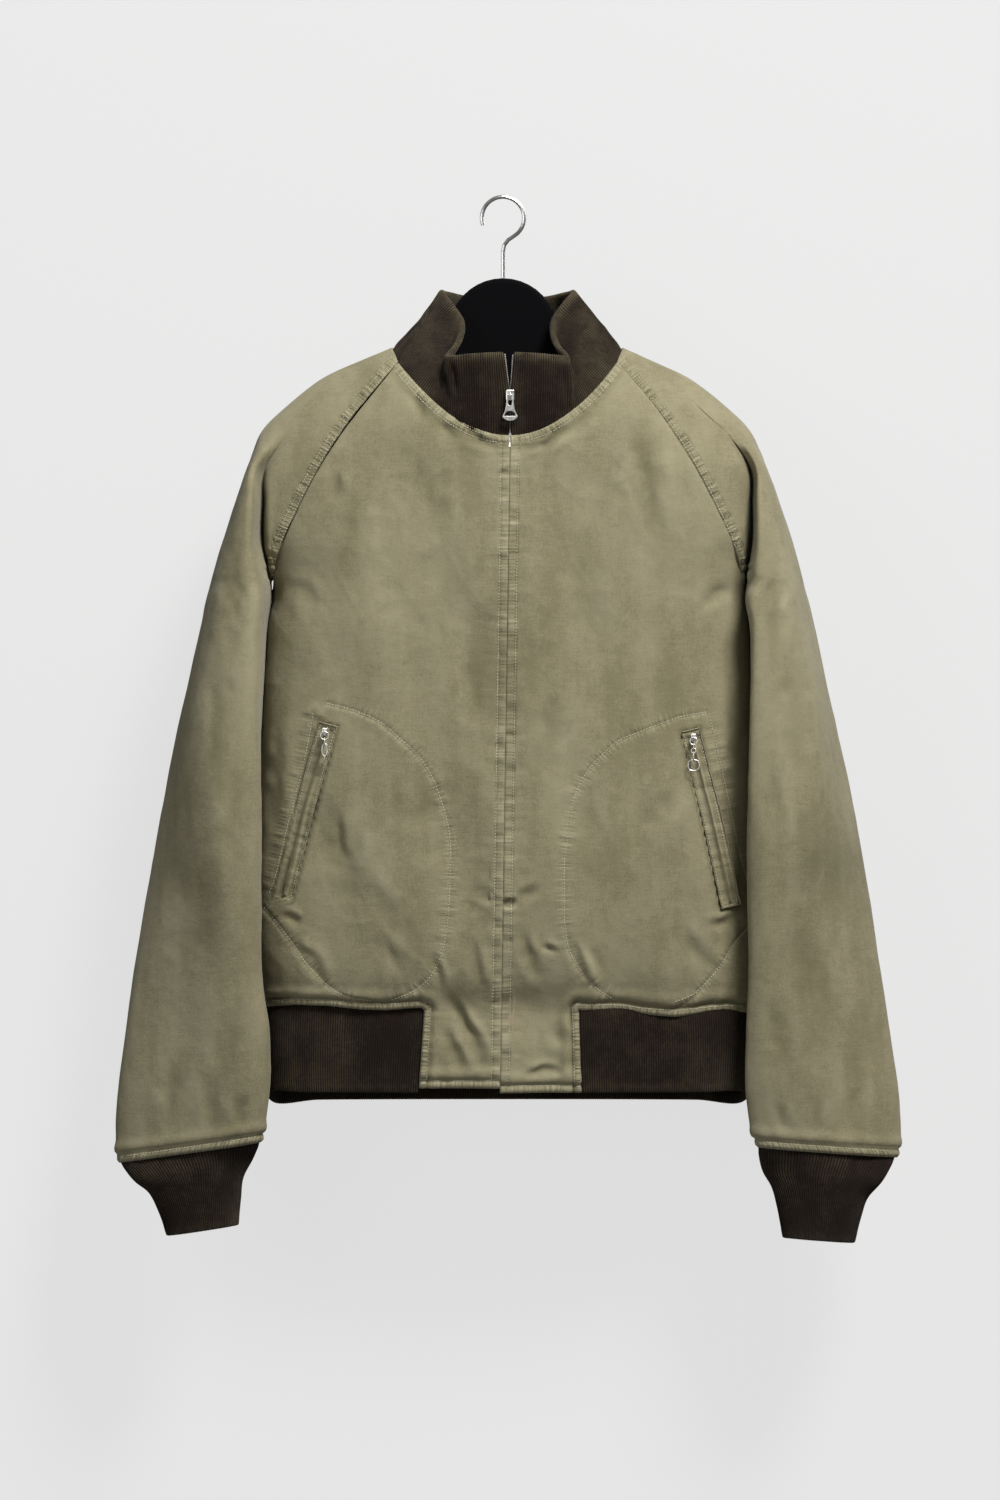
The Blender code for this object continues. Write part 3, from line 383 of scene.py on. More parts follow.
def tab_rows(side, count=4):
    """The tab below the hem seam, as wide as the front's first three columns."""
    rows = []
    for i in range(1, count + 1):
        z = mix(HEM_SEAM_Z, TAB_END_Z[side], i / count)
        edge = mix(*TAB_X[side], i / count)
        xs = [mix(zip_x(z), edge, share) for share in (0.0, 0.5, 1.0)]
        rows.append([Vector((x, depth(x, z, -1), z)) for x in xs])
    return rows


def back_rows():
    heights = [(row.back_seam, row.back_middle) for row in CAP_ROWS] + [(z, z) for z in SIDE_ROWS]
    rows = []
    for outer_z, inner_z in heights:
        left = panel_row(-1, 1, outer_z, inner_z, 0.0, BACK_SHARES)
        right = panel_row(1, 1, outer_z, inner_z, 0.0, BACK_SHARES)
        rows.append(left[:0:-1] + right)
    return rows


def cap_half(side, face, seam_z, ridge_z):
    """Half of one section of the sleeve's cap, from the raglan seam to the ridge."""
    blend = fade(ridge_z, TIP_Z + DRAPE_START, TIP_Z - DRAPE_END)
    deep = 1.0 if face < 0 else read(BODY, "back", seam_z) / read(BODY, "front", seam_z)
    lip_column = "lip_left" if side < 0 else "lip_right"
    ridge_x = read(BODY, "wide", ridge_z) if ridge_z >= TIP_Z else read(GROOVE, "outer", ridge_z)
    start_x = seam_x(seam_z, face)

    def on_shoulder(share):
        """x, y, z on the plain shoulder surface, as if there were no groove."""
        x = mix(start_x, ridge_x, share)
        z = mix(seam_z, ridge_z, share)
        return Vector((x, abs(depth(x, z, face)), z))

    def placed(share, x, y):
        shoulder = on_shoulder(share)
        return shoulder.lerp(Vector((x, y * deep, shoulder.z)), blend)

    fold_share, groove_share, lip_share = GROOVE_SHARES
    groove_z = mix(seam_z, ridge_z, groove_share)
    fold_x = read(BODY, "fold", groove_z)
    fold_y = abs(depth(fold_x, groove_z, -1))
    lip_x = read(GROOVE, lip_column, groove_z)
    lip_y = read(GROOVE, "lip_y", groove_z)
    groove_x = min(read(GROOVE, "groove_x", groove_z), lip_x - LEAST_LIP)
    groove_y = read(GROOVE, "groove_y", groove_z)
    if groove_z <= FOLD_END_Z:
        groove_x = read(GROOVE, "groove_x", groove_z)
    to_fold, to_groove, to_lip, to_ridge = CAP_SPANS
    row = []
    for i in range(to_fold):
        share = i / to_fold
        x = mix(start_x, fold_x, share)
        z = mix(seam_z, groove_z, share)
        row.append(on_shoulder(fold_share * share).lerp(Vector((x, abs(depth(x, z, face)), z)), blend))
    for i in range(to_groove):
        share = i / to_groove
        x = mix(fold_x, groove_x, share)
        y = mix(fold_y, groove_y, share)
        row.append(placed(mix(fold_share, groove_share, share), x, y))
    full = fade(groove_z, -293, ARMPIT_Z)
    for i in range(to_lip):
        share = i / to_lip
        angle = math.radians(90 * (1 - share))
        round_x = lip_x - (lip_x - groove_x) * math.sin(angle) ** (2 / SQUARENESS)
        round_y = groove_y + (lip_y - groove_y) * math.cos(angle) ** (2 / SQUARENESS)
        x = mix(mix(groove_x, lip_x, share), round_x, full)
        y = mix(mix(groove_y, lip_y, share), round_y, full)
        row.append(placed(mix(groove_share, lip_share, share), x, y))
    for i in range(to_ridge + 1):
        share = i / to_ridge
        angle = math.radians(90 * share)
        x = lip_x + (ridge_x - lip_x) * math.sin(angle) ** (2 / SQUARENESS)
        y = lip_y * math.cos(angle) ** (2 / SQUARENESS)
        row.append(placed(mix(lip_share, 1.0, share), x, y))
    return [Vector((side * p.x, face * p.y, p.z)) for p in row]


def cap_row(side, heights):
    front = cap_half(side, -1, heights.front_seam, heights.ridge)
    back = cap_half(side, 1, heights.back_seam, heights.ridge)
    return front + back[-2::-1]


def neck_row(side):
    """The sleeve's edge at the neck, spread evenly along the collar's own edges."""
    corners = [neck_point(share, side) for share in NECK_SIDE_SHARES]
    count = 2 * sum(CAP_SPANS)
    row = []
    for i in range(count + 1):
        place = i / count * (len(corners) - 1)
        spot = min(int(place), len(corners) - 2)
        row.append(corners[spot].lerp(corners[spot + 1], place - spot))
    return row


def ring_angles():
    """Round a tube from the underarm seam: 0 is its front edge, 90 its outer face, 180 its back edge."""
    to_lip, to_ridge = CAP_SPANS[2:]
    angles = [270 + 90 * i / to_lip for i in range(to_lip)]
    angles += [90 * i / to_ridge for i in range(2 * to_ridge)]
    return angles + [180 + 90 * i / to_lip for i in range(to_lip + 1)]


def bulge(value):
    """One coordinate of a slightly squared oval, from a sine or cosine."""
    return math.copysign(abs(value) ** (2 / SQUARENESS), value)


def tube_row(side, z):
    """One section of the sleeve below the armpit, from the underarm seam round the front to it again."""
    tip = Vector((read(TUBE, "tip_left" if side < 0 else "tip_right", z), -read(TUBE, "tip_y", z)))
    tail = Vector((read(TUBE, "tail_x", z), -read(TUBE, "tail_y", z)))
    middle = (tip + tail) / 2
    along = (tip - tail) / 2
    outward = Vector((-along.y, along.x)).normalized()
    out = read(TUBE, "out", z)
    inn = middle.x - read(TUBE, "under", z)
    inn = inn / max(outward.x, LEAST_TURN)
    spots = []
    for angle in ring_angles():
        turn = math.radians(angle)
        part = (out if angle <= 180 else inn) * bulge(math.sin(turn))
        spots.append(middle + along * bulge(math.cos(turn)) + outward * part)
    stretch = (read(TUBE, "outer", z) - middle.x) / (max(spot.x for spot in spots) - middle.x)
    tilt = CUFF_TILT[side] * fade(z, CUFF_TILT_START_Z, CUFF_SEAM_Z)
    row = []
    for spot in spots:
        x = middle.x + (spot.x - middle.x) * (stretch if spot.x > middle.x else 1.0)
        row.append(Vector((side * x, spot.y, z - tilt * (x - middle.x) / SLEEVE_HALF_WIDTH)))
    return row


def armpit_row(side):
    """The last row of the cap, whose ends meet at the armpit."""
    row = cap_half(side, -1, ARMPIT_Z, ARMPIT_Z) + cap_half(side, 1, ARMPIT_Z, ARMPIT_Z)[-2::-1]
    lead = sum(CAP_SPANS[:2]) + 1
    armpit = Vector((side * ARMPIT_X, 0, ARMPIT_Z))
    return [armpit] * lead + row[lead:-lead] + [armpit] * lead


def neck_point(share, side):
    """A point of the neck seam, from the zip (0) round to the centre back (1)."""
    x, z, face = neck_spot(share)
    return Vector((side * x, depth(x, z, face), z))


def neck_spot(share):
    """x, z and face of the neck seam at a place on its ring."""
    if share <= 0.5:
        part = share / 0.5
        return FRONT_SEAM_TOP[0] * part, mix(NECK_FRONT_Z, FRONT_SEAM_TOP[1], part**2), -1
    if share <= NECK_SIDE_END:
        part = (share - 0.5) / (NECK_SIDE_END - 0.5)
        return mix(FRONT_SEAM_TOP[0], NECK_HALF_WIDTH, part), mix(FRONT_SEAM_TOP[1], NECK_SIDE_Z, part), -1
    if share <= NECK_BACK_START:
        part = (share - NECK_SIDE_END) / (NECK_BACK_START - NECK_SIDE_END)
        return mix(NECK_HALF_WIDTH, BACK_SEAM_TOP[0], part), mix(NECK_SIDE_Z, BACK_SEAM_TOP[1], part), 1
    part = (share - NECK_BACK_START) / (1 - NECK_BACK_START)
    drop = BACK_SEAM_TOP[1] - NECK_BACK_Z
    return BACK_SEAM_TOP[0] * (1 - part), NECK_BACK_Z + drop * (1 - part) ** 2, 1


def collar_point(share, height, side):
    """A point of the collar: height 0 at the neck seam, 1 at the upper edge."""
    base = neck_point(share, side)
    rim = Vector([read(RIM, column, share) for column in ("x", "y", "height")])
    rim.x *= side
    spot = base.lerp(rim, height)
    near_zip = max(0.0, 1 - share / COLLAR_FRONT)
    spot.x += near_zip * (ZIP_TOP_X + ZIP_OPEN_X[side] * max(0.0, 2 * height - 1))
    return spot


def collar_shares(side):
    """Places on the neck ring, the same as those of the panels and the sleeve that meet it."""
    front = [0.5 * share for share in front_shares(side)]
    back = [1 - (1 - NECK_BACK_START) * share for share in BACK_SHARES[-2::-1]]
    return front + list(NECK_SIDE_SHARES[1:]) + back


def collar_rows():
    rows = []
    for height in COLLAR_HEIGHTS:
        left = [collar_point(share, height, -1) for share in collar_shares(-1)]
        right = [collar_point(share, height, 1) for share in collar_shares(1)]
        rows.append(left + right[-2::-1])
    return rows


def rib_rows():
    """The hem band, from the left tab round the back to the right tab."""
    rows = []
    for share in RIB_HEIGHTS:
        rows.append(rib_half(-1, share) + rib_half(1, share)[-2::-1])
    return rows


def rib_half(side, share):
    """Half a row of the hem band, from the tab to the centre back. share: how far down the band."""
    front_z = mix(HEM_SEAM_Z, RIB_FRONT_Z, share)
    back_z = mix(HEM_SEAM_Z, RIB_BACK_Z, share)
    side_z = mix(front_z, back_z, RIB_SIDE_SHARE)
    fold = side * read(BODY, "fold", front_z)
    start = mix(*TAB_X[side], share)
    row = []
    for part in RIB_FRONT_PARTS:
        x = mix(start, fold, part)
        row.append(Vector((x, depth(x, front_z, -1), front_z)))
    for face, parts in ((-1, (1.0, *SIDE_SHARES)), (1, (*SIDE_SHARES[-2::-1], 1.0))):
        for part in parts:
            spot = side_point(front_z, part, side, face)
            spot.z = side_z if part == 0 else mix(side_z, front_z if face < 0 else back_z, part)
            row.append(spot)
    for part in RIB_BACK_PARTS:
        x = fold * part
        row.append(Vector((x, depth(x, front_z, 1), back_z)))
    return row


def cuff_rows(side):
    rows = [tube_row(side, CUFF_SEAM_Z)]
    for section in CUFFS[side]:
        row = []
        for angle in ring_angles():
            turn = math.radians(angle)
            share = (1 - bulge(math.cos(turn))) / 2
            x = side * mix(section.inner_x, section.outer_x, share)
            y = CUFF_Y - section.depth / 2 * bulge(math.sin(turn))
            row.append(Vector((x, y, mix(section.inner_z, section.outer_z, share))))
        rows.append(row)
    return rows


def tape_rows(side):
    """A zip tape behind a front edge, up through the collar to its upper edge."""
    rows = []
    for i in range(5):
        height = 1 - i / 4
        edge = collar_point(0.0, height, side)
        behind = edge.y + KNIT + TAPE_LAP
        far = Vector((edge.x + side * TAPE_WIDTH, behind, edge.z))
        shows = side * TAPE_SHOWS * max(0.0, 2 * height - 1)
        rows.append([Vector((edge.x - shows, behind, edge.z)), far])
    heights = [row.zip for row in CAP_ROWS[1:]] + list(SIDE_ROWS)
    heights += [mix(HEM_SEAM_Z, TAB_END_Z[side] + TAPE_END, share) for share in (0.25, 0.5, 0.75, 1.0)]
    for z in heights:
        behind = depth(zip_x(z), z, -1) + CLOTH + LAP
        start = zip_x(z)
        rows.append([Vector((start, behind, z)), Vector((start + side * TAPE_WIDTH, behind, z))])
    return rows


def pocket_axis(side):
    """The upper end (x, z) of a pocket's middle line, the line's direction in x and z, and its length."""
    top, end = POCKET_TOP[side], POCKET_END[side]
    length = math.dist(top, end)
    return top, (end[0] - top[0]) / length, (end[1] - top[1]) / length, length


# Creases in the front view, from one end to the other. bow: how far the middle is off the straight line;
# depth: into the cloth (a ridge is negative); width: half-width of the trough.
Crease = namedtuple("Crease", "x z to_x to_z bow depth width")
FRONT_CREASES = (
    Crease(-49, -206, -6, -226, 3, 1.6, 4),
    Crease(-64, -197, -44, -222, 2, 1.5, 5),
    Crease(-89, -170, -70, -204, 3, 1.5, 5),
    Crease(61, -202, 26, -235, -4, 1.6, 4.5),
    Crease(74, -191, 58, -210, -2, 1.3, 5),
    Crease(35, -218, 12, -224, 1, 0.9, 3),
    Crease(-90, -215, -60, -330, 8, 1.1, 12),
    Crease(123, -182, 138, -322, -8, 1.5, 9),
    Crease(104, -200, 118, -300, -6, -0.8, 10),
    Crease(-150, -242, -155, -272, 2, 1.4, 5),
    Crease(-138, -250, -150, -350, 5, 1.1, 10),
    Crease(-60, -300, -75, -430, 6, 0.8, 14),
    Crease(60, -290, 85, -420, -8, 0.9, 14),
    Crease(-198, -345, -165, -366, 5, 0.9, 6),
    Crease(202, -345, 164, -372, -5, 1.0, 6),
    Crease(40, -420, 25, -520, 4, 0.9, 8),
    Crease(-30, -400, -24, -470, -3, 0.7, 7),
    Crease(-156, -530, -126, -640, -5, 1.6, 12),
    Crease(-150, -545, -138, -590, -3, 0.9, 5),
    Crease(-128, -600, -100, -655, 4, 1.1, 9),
    Crease(-201, -634, -180, -642, 2, 1.8, 3.5),
    Crease(-192, -656, -158, -697, 3, 1.6, 5),
    Crease(-120, -650, -90, -690, 4, 1.2, 6),
    Crease(63, -664, 78, -697, 2, -1.8, 5),
    Crease(54, -655, 66, -692, 2, 1.8, 4),
    Crease(173, -643, 209, -634, -2, 1.7, 4),
    Crease(150, -640, 190, -690, -4, 1.3, 6),
    Crease(-70, -664, -60, -703, 3, 1.9, 4),
    Crease(-37, -650, -22, -712, 3, 1.6, 5),
    Crease(-55, -700, -17, -776, 4, 2.2, 4.5),
    Crease(-62, -728, -38, -778, 3, 1.2, 4.5),
    Crease(12, -645, 30, -692, -2, 1.8, 4.5),
    Crease(30, -660, 44, -668, 1, 1.6, 3),
    Crease(40, -727, 58, -752, -2, 1.3, 5),
    Crease(12, -775, 50, -772, 3, 1.7, 3.5),
    Crease(-6, -622, 10, -622, 0, 2.4, 2.6),
    Crease(10, -622, 30, -608, 2, 1.4, 4),
    Crease(-10, -624, -34, -610, -2, 1.3, 4),
    Crease(150, -520, 110, -560, 3, 1.0, 8),
    Crease(-60, -520, -90, -560, 4, 0.9, 9),
    Crease(60, -500, 70, -590, 6, 0.8, 10),
    Crease(205, -420, 196, -560, 4, 1.1, 8),
    Crease(-207, -430, -200, -590, -4, 1.1, 8),
)
BACK_CREASES = (
    Crease(-60, -190, -85, -360, 8, 1.4, 12),
    Crease(66, -200, 96, -350, -8, 1.4, 11),
    Crease(-10, -220, 4, -420, 5, 1.0, 14),
    Crease(-185, -330, -120, -380, 6, 2.0, 8),
    Crease(188, -338, 118, -392, -6, 2.0, 8),
    Crease(-150, -400, -130, -560, 8, 1.3, 13),
    Crease(146, -420, 132, -600, -8, 1.3, 13),
    Crease(-60, -480, -50, -650, 6, 1.1, 12),
    Crease(40, -500, 64, -640, -6, 1.2, 12),
    Crease(-120, -655, -60, -662, 4, 1.6, 6),
    Crease(40, -650, 130, -664, -5, 1.7, 6),
    Crease(-30, -672, 20, -676, 2, 1.3, 5),
    Crease(-190, -640, -150, -690, 4, 1.5, 7),
    Crease(186, -632, 158, -692, -4, 1.5, 7),
)
# Sleeve creases, with x as a distance from the centre line
SLEEVE_CREASES = {
    -1: (
        Crease(236, -300, 240, -420, 3, 1.4, 7),
        Crease(250, -360, 262, -520, -5, 1.1, 9),
        Crease(232, -470, 240, -620, 4, 1.2, 8),
        Crease(236, -560, 272, -578, 3, 0.4, 7),
        Crease(262, -600, 300, -700, -5, 0.9, 12),
        Crease(232, -690, 252, -800, 4, 1.1, 9),
        Crease(290, -760, 300, -826, 2, 1.3, 6),
        Crease(262, -775, 258, -828, 2, 1.2, 5),
        Crease(232, -790, 236, -822, 2, 1.2, 5),
    ),
    1: (
        Crease(228, -290, 232, -430, 3, 1.5, 7),
        Crease(246, -380, 264, -540, -5, 1.1, 10),
        Crease(228, -480, 236, -600, 3, 1.2, 7),
        Crease(232, -585, 262, -566, 4, 0.4, 7),
        Crease(256, -620, 286, -740, -6, 1.0, 12),
        Crease(228, -700, 246, -806, 4, 1.1, 8),
        Crease(300, -745, 306, -828, 3, 1.3, 7),
        Crease(270, -786, 268, -830, 2, 1.2, 5),
        Crease(240, -796, 242, -828, 1, 1.2, 5),
    ),
}
COLLAR_CREASES = (
    Crease(-55, -143, -50, -182, 1, -1.6, 2.4),
    Crease(-49, -146, -45, -180, 1, 0.8, 3),
    Crease(57, -145, 57, -188, -1, -1.6, 2.4),
    Crease(51, -148, 51, -186, -1, 0.8, 3),
    Crease(-10, -143, -9, -208, 0, 0.7, 1.2),
    Crease(15, -143, 15, -208, 0, 0.7, 1.2),
    Crease(-86, -140, -62, -108, 4, -1.6, 7),
    Crease(84, -138, 64, -108, -4, -1.4, 7),
)

# How far the hem seam rises and falls along the front
Wave = namedtuple("Wave", "x rise")
HEM_WAVE = (
    Wave(-213, 1.6), Wave(-187, 4.2), Wave(-158, 3.7), Wave(-129, 0.7), Wave(-107, -0.2), Wave(-85, 1.6),
    Wave(-70, 2.0), Wave(-20, 0), Wave(20, 0), Wave(60, -1), Wave(99, -1), Wave(124, -4.6), Wave(149, -6.3),
    Wave(173, -3.7), Wave(192, -1.9), Wave(216, -3.7),
)

# The pocket bags' stitching, and the outer row beside each pocket, in the front view
BAG_LINES = {
    -1: (
        (-160.5, -447), (-134, -454), (-112, -464), (-93, -480), (-76.5, -496), (-65, -515), (-58, -534),
        (-52, -556), (-50, -580), (-51, -612), (-53, -640), (-57, -664), (-65, -684), (-80, -699),
        (-102, -708),
    ),
    1: (
        (175, -455), (151, -459.5), (133, -466), (115, -473), (98, -480), (81, -495), (68, -510),
        (58.5, -530), (54, -554), (50, -583), (49.5, -612), (50, -640), (54, -664), (64, -682), (77, -697),
        (94, -708),
    ),
}
BAG_LOWER_LINES = {
    -1: ((-215, -627), (-202, -642), (-191, -656), (-178, -675), (-159, -695), (-145, -704), (-119, -709)),
    1: ((215, -642), (208.5, -649), (199, -660), (190, -675), (178.5, -689), (164, -703), (147, -710)),
}
POCKET_OUTER_LINES = {
    -1: ((-171, -456), (-178, -494), (-186, -525), (-193.5, -554), (-199, -577), (-205, -601), (-210, -615)),
    1: ((177, -456), (183, -482), (190, -512), (198, -549), (205, -580), (211.5, -604)),
}

CLOTH_STEP = 2.0  # between the cloth's points
TAB_STEP = 1.6
FINE_STEP = 1.3
BACK_STEP = 3.0
SLEEVE_STEP = 3.0
CAP_STEP = 1.8  # down the sleeve's cap
SLEEVE_EDGE_STEPS = (1.5, 2.4, 2.4, 1.8)  # across its first two and last two columns
TAPE_STEP = 3.0
TAPE_COLUMNS = 5
TOOTH_PITCH = 2.0  # on one side of the front zip
RIB_HALF_WIDTH = 211.0  # where the sleeve's inner side lies against the rib
SLEEVE_TO_BODY = 0.6
LEAVES_BODY = (-600, -700)
MEETS_RIB = (-690, -712)
LEAVES_RIB = (-806, -830)
ZIP_SHOWS = -222.0  # the front edges meet over the zip below this
ZIP_GAP = 0.45
ZIP_GAP_Z = -214
COLUMNS_PER_RIB = 4
RIB_DEPTH = 0.6
RIM_SWELL = 0.5
INNER_RIB = 0.6  # depth of the inner face's ribs against the outer one's
SEAM_TUCK = 1.3  # how far the knit dips where it is sewn on
SEAM_LIFT = 2.6  # how far it goes on under the cloth's edge
END_RADIUS = 2.2
COLLAR_STEP = 3.0
RIB_STEP = 5.0
CUFF_STEP = 3.5
FOLD_STEPS = 4  # rows round the fold of the knit
COLLAR_THICK = 4.2
LENS = 189.6
VIEW_X = -0.00264
VIEW_Z = -0.4884
VIEW_DISTANCE = 7.0
WALL_COLOUR = (0.10, 0.10, 0.10)
FLOOR_COLOUR = (0.16, 0.16, 0.16)
WALL_GLOW = 0.70  # the wall's own even light, so that the jacket's shadow on it stays pale
WORLD_POWER = 0.22
Light = namedtuple("Light", "name place target size power colour")
LIGHTS = (
    Light("key", (1.5, -2.5, 3.1), (0.0, 0, -0.45), 1.5, 300.0, (1.0, 0.99, 0.97)),
    Light("fill", (-3.4, -4.0, 0.2), (0, 0, -0.5), 2.4, 45.0, (0.96, 0.98, 1.0)),
    Light("back_fill", (1.2, 2.6, 0.9), (0, 0, -0.45), 2.2, 45.0, (1, 1, 1)),
)
WALL_Y = 0.10
WALL_HALF_WIDTH = 6.0
WALL_TOP = 4.0
FLOOR_Z = -1.6
# Each sheet as it is cut: width, length and area in m
Sheet = namedtuple("Sheet", "width length area")
EDGE_RADIUS = 2.6
EDGE_DROP = 1.3
STRIP = 6.5  # height of the stitched strip above the knit
HEM_ROW = STRIP * 0.8  # from the hem seam to its topstitching
ZIP_ROW = 7.4  # from the zip to its topstitching
SEAM_ROWS = (1.9, 6.6)  # topstitching beside the neck and raglan seams
LONG_RUMPLE = 52.0
SHORT_RUMPLE = 19.0
CREASE_GAIN = 1.3
CREASE_NARROW = 1.05
PUCKER_PITCH = 5.2  # between the ridges that a topstitched seam draws up
FINE_RUMPLE = 7.5
HEM_WEAR = 0.55  # of the back's and the sleeves' ends
RUCK_PITCH = 7.5  # of the puckers between a seam's two rows
FINE_RUCK_PITCH = 4.4
RAGLAN_DROP = 0.25  # the panels fall away this far where the sleeve's edge lies on them
WINDOW_DEPTH = 2.6  # how far the panel sinks behind a pocket's welts
LATTICE = 256
# Seeds of the noise. A side, a face or a second pattern adds a little to them.
SEEDS = {
    "wander": 7, "front": 11, "back": 15, "sleeve": 19, "neck": 31, "back_neck": 33, "raglan": 35,
    "zip": 41, "fine_zip": 43, "hem": 51, "end": 53, "back_hem": 55, "sleeve_hem": 57, "bag": 61,
    "lower": 63, "outer": 71, "collar": 81, "rib": 84, "cuff": 87, "welt_end": 92, "welt": 93,
    "fine_welt": 95,
}


def colour_prop(name, description, default):
    return bpy.props.FloatVectorProperty(
        name=name, description=description, subtype="COLOR", size=3, min=0, max=1, default=default
    )


class JacketSettings(bpy.types.PropertyGroup):
    """Sizes and colours that a user may change."""

    cloth_colour: colour_prop("Cloth", "Olive garment-dyed cotton", (0.222, 0.199, 0.119))
    worn_colour: colour_prop(
        "Worn cloth", "Cotton where the dye has rubbed off its edges", (0.38, 0.35, 0.235)
    )
    # The deep colour is also painted shade in creases, grooves and pucker dips.
    deep_colour: colour_prop("Deep cloth", "Cotton where the dye has gathered", (0.125, 0.112, 0.058))
    thread_colour: colour_prop("Thread", "Topstitching thread", (0.50, 0.47, 0.33))
    knit_colour: colour_prop("Knit", "Dark brown rib knit", (0.0135, 0.0083, 0.0058))
    # The knit rim colour is also painted light on the collar's wings.
    knit_rim_colour: colour_prop("Knit rim", "Knit where it is folded and rubbed", (0.095, 0.077, 0.046))
    tape_colour: colour_prop("Tape", "Woven zip tape", (0.33, 0.27, 0.18))
    nickel_colour: colour_prop("Nickel", "Sliders, pulls and teeth", (0.90, 0.885, 0.85))
    hanger_colour: colour_prop("Hanger", "Flocked black of the hanger", (0.0022, 0.0022, 0.0028))
    stitch_length: bpy.props.FloatProperty(
        name="Stitch length", description="From one needle hole to the next",
        subtype="DISTANCE", unit="LENGTH", default=0.0027, min=0.001, max=0.006,
    )
    thread_radius: bpy.props.FloatProperty(
        name="Thread radius", description="Half the topstitching thread's thickness",
        subtype="DISTANCE", unit="LENGTH", default=0.00042, min=0.0001, max=0.001,
    )
    rib_pitch: bpy.props.FloatProperty(
        name="Rib pitch", description="From one rib of the knit to the next",
        subtype="DISTANCE", unit="LENGTH", default=0.0021, min=0.001, max=0.006,
    )
    pucker: bpy.props.FloatProperty(
        name="Pucker", description="How strongly the stitched seams draw up the cloth",
        default=1.0, min=0, max=3,
    )


def settings():
    return bpy.context.scene.tanker_jacket


# Grids of points -----------------------------------------------------------------------------------------


def as_grid(rows):
    return np.array([[tuple(point) for point in row] for row in rows], float)


def knots(points):
    """Places of a grid's rows, from the mean distance between them."""
    steps = np.linalg.norm(np.diff(points, axis=0), axis=2).mean(axis=1)
    return np.concatenate([[0.0], np.cumsum(np.maximum(steps, 0.01))])


def curved(points, at):
    """Rows of a grid at these fractional row numbers, on smooth curves through its own rows."""
    places = knots(points)
    at = np.interp(at, np.arange(len(places)), places)
    steps = np.diff(places)
    rises = np.diff(points, axis=0) / steps[:, None, None]
    still = np.linalg.norm(rises, axis=2, keepdims=True) < 1e-3
    slopes = np.empty_like(points)
    slopes[0], slopes[-1] = rises[0], rises[-1]
    share = (steps[:-1] / (steps[:-1] + steps[1:]))[:, None, None]
    slopes[1:-1] = rises[:-1] * (1 - share) + rises[1:] * share
    slopes[1:-1] *= ~(still[:-1] | still[1:])
    spot = np.clip(np.searchsorted(places, at, side="right") - 1, 0, len(steps) - 1)
    width = steps[spot][:, None, None]
    t = (at - places[spot])[:, None, None] / width
    return (
        points[spot] * (2 * t**3 - 3 * t**2 + 1)
        + points[spot + 1] * (3 * t**2 - 2 * t**3)
        + slopes[spot] * width * (t**3 - 2 * t**2 + t)
        + slopes[spot + 1] * width * (t**3 - t**2)
    )


def split(points, step, fine=()):
    """Fractional row numbers that divide a grid's rows into steps of about this size. fine: {cell: step}."""
    sizes = np.linalg.norm(np.diff(points, axis=0), axis=2).max(axis=1)
    fine = dict(fine)
    numbers = []
    for cell, size in enumerate(sizes):
        count = max(1, int(math.ceil(size / fine.get(cell, step))))
        numbers += [cell + i / count for i in range(count)]
    return np.array(numbers + [len(sizes)])


def refined(points, down, across):
    points = curved(points, down)
    return curved(points.swapaxes(0, 1), across).swapaxes(0, 1)


def grid_normals(points, sign):
    """Unit normals of a grid. Where points coincide, the nearest column's normal is used."""
    normals = np.cross(np.gradient(points, axis=1), np.gradient(points, axis=0)) * sign
    size = np.linalg.norm(normals, axis=2)
    middle = points.shape[1] // 2
    for j in range(middle - 1, -1, -1):
        flat = size[:, j] < 1e-4
        normals[flat, j] = normals[flat, j + 1]
        size[flat, j] = size[flat, j + 1]
    for j in range(middle + 1, points.shape[1]):
        flat = size[:, j] < 1e-4
        normals[flat, j] = normals[flat, j - 1]
        size[flat, j] = size[flat, j - 1]
    return normals / np.maximum(size, 1e-9)[:, :, None]


def lengths_across(points):
    """Distance along each row from its first point."""
    steps = np.linalg.norm(np.diff(points, axis=1), axis=2)
    return np.concatenate([np.zeros((len(points), 1)), np.cumsum(steps, axis=1)], axis=1)


# Relief ---------------------------------------------------------------------------------------------------


def lattice(seed):
    return np.random.RandomState(seed).rand(LATTICE, LATTICE) * 2 - 1


def soft(t):
    t = np.clip(t, 0.0, 1.0)
    return t * t * (3 - 2 * t)


def hump(x, at, width):
    """A bell curve of height 1 round this place."""
    return np.exp(-(((x - at) / width) ** 2))


def fall(away, length):
    """1 at an edge, and smaller with distance from it."""
    return np.exp(-away / length)


def noise(u, v, seed):
    """Smooth noise from -1 to 1, with a period of one unit between its peaks and dips."""
    table = lattice(seed)
    u0, v0 = np.floor(u).astype(int), np.floor(v).astype(int)
    fu, fv = soft(u - u0), soft(v - v0)
    i, j = u0 % LATTICE, v0 % LATTICE
    i1, j1 = (i + 1) % LATTICE, (j + 1) % LATTICE
    low = table[i, j] * (1 - fu) + table[i1, j] * fu
    high = table[i, j1] * (1 - fu) + table[i1, j1] * fu
    return low * (1 - fv) + high * fv


def ripple(along, pitch, seed):
    """Uneven puckers along a seam."""
    return noise(along / (pitch / 2), np.full_like(along, 0.5), seed)


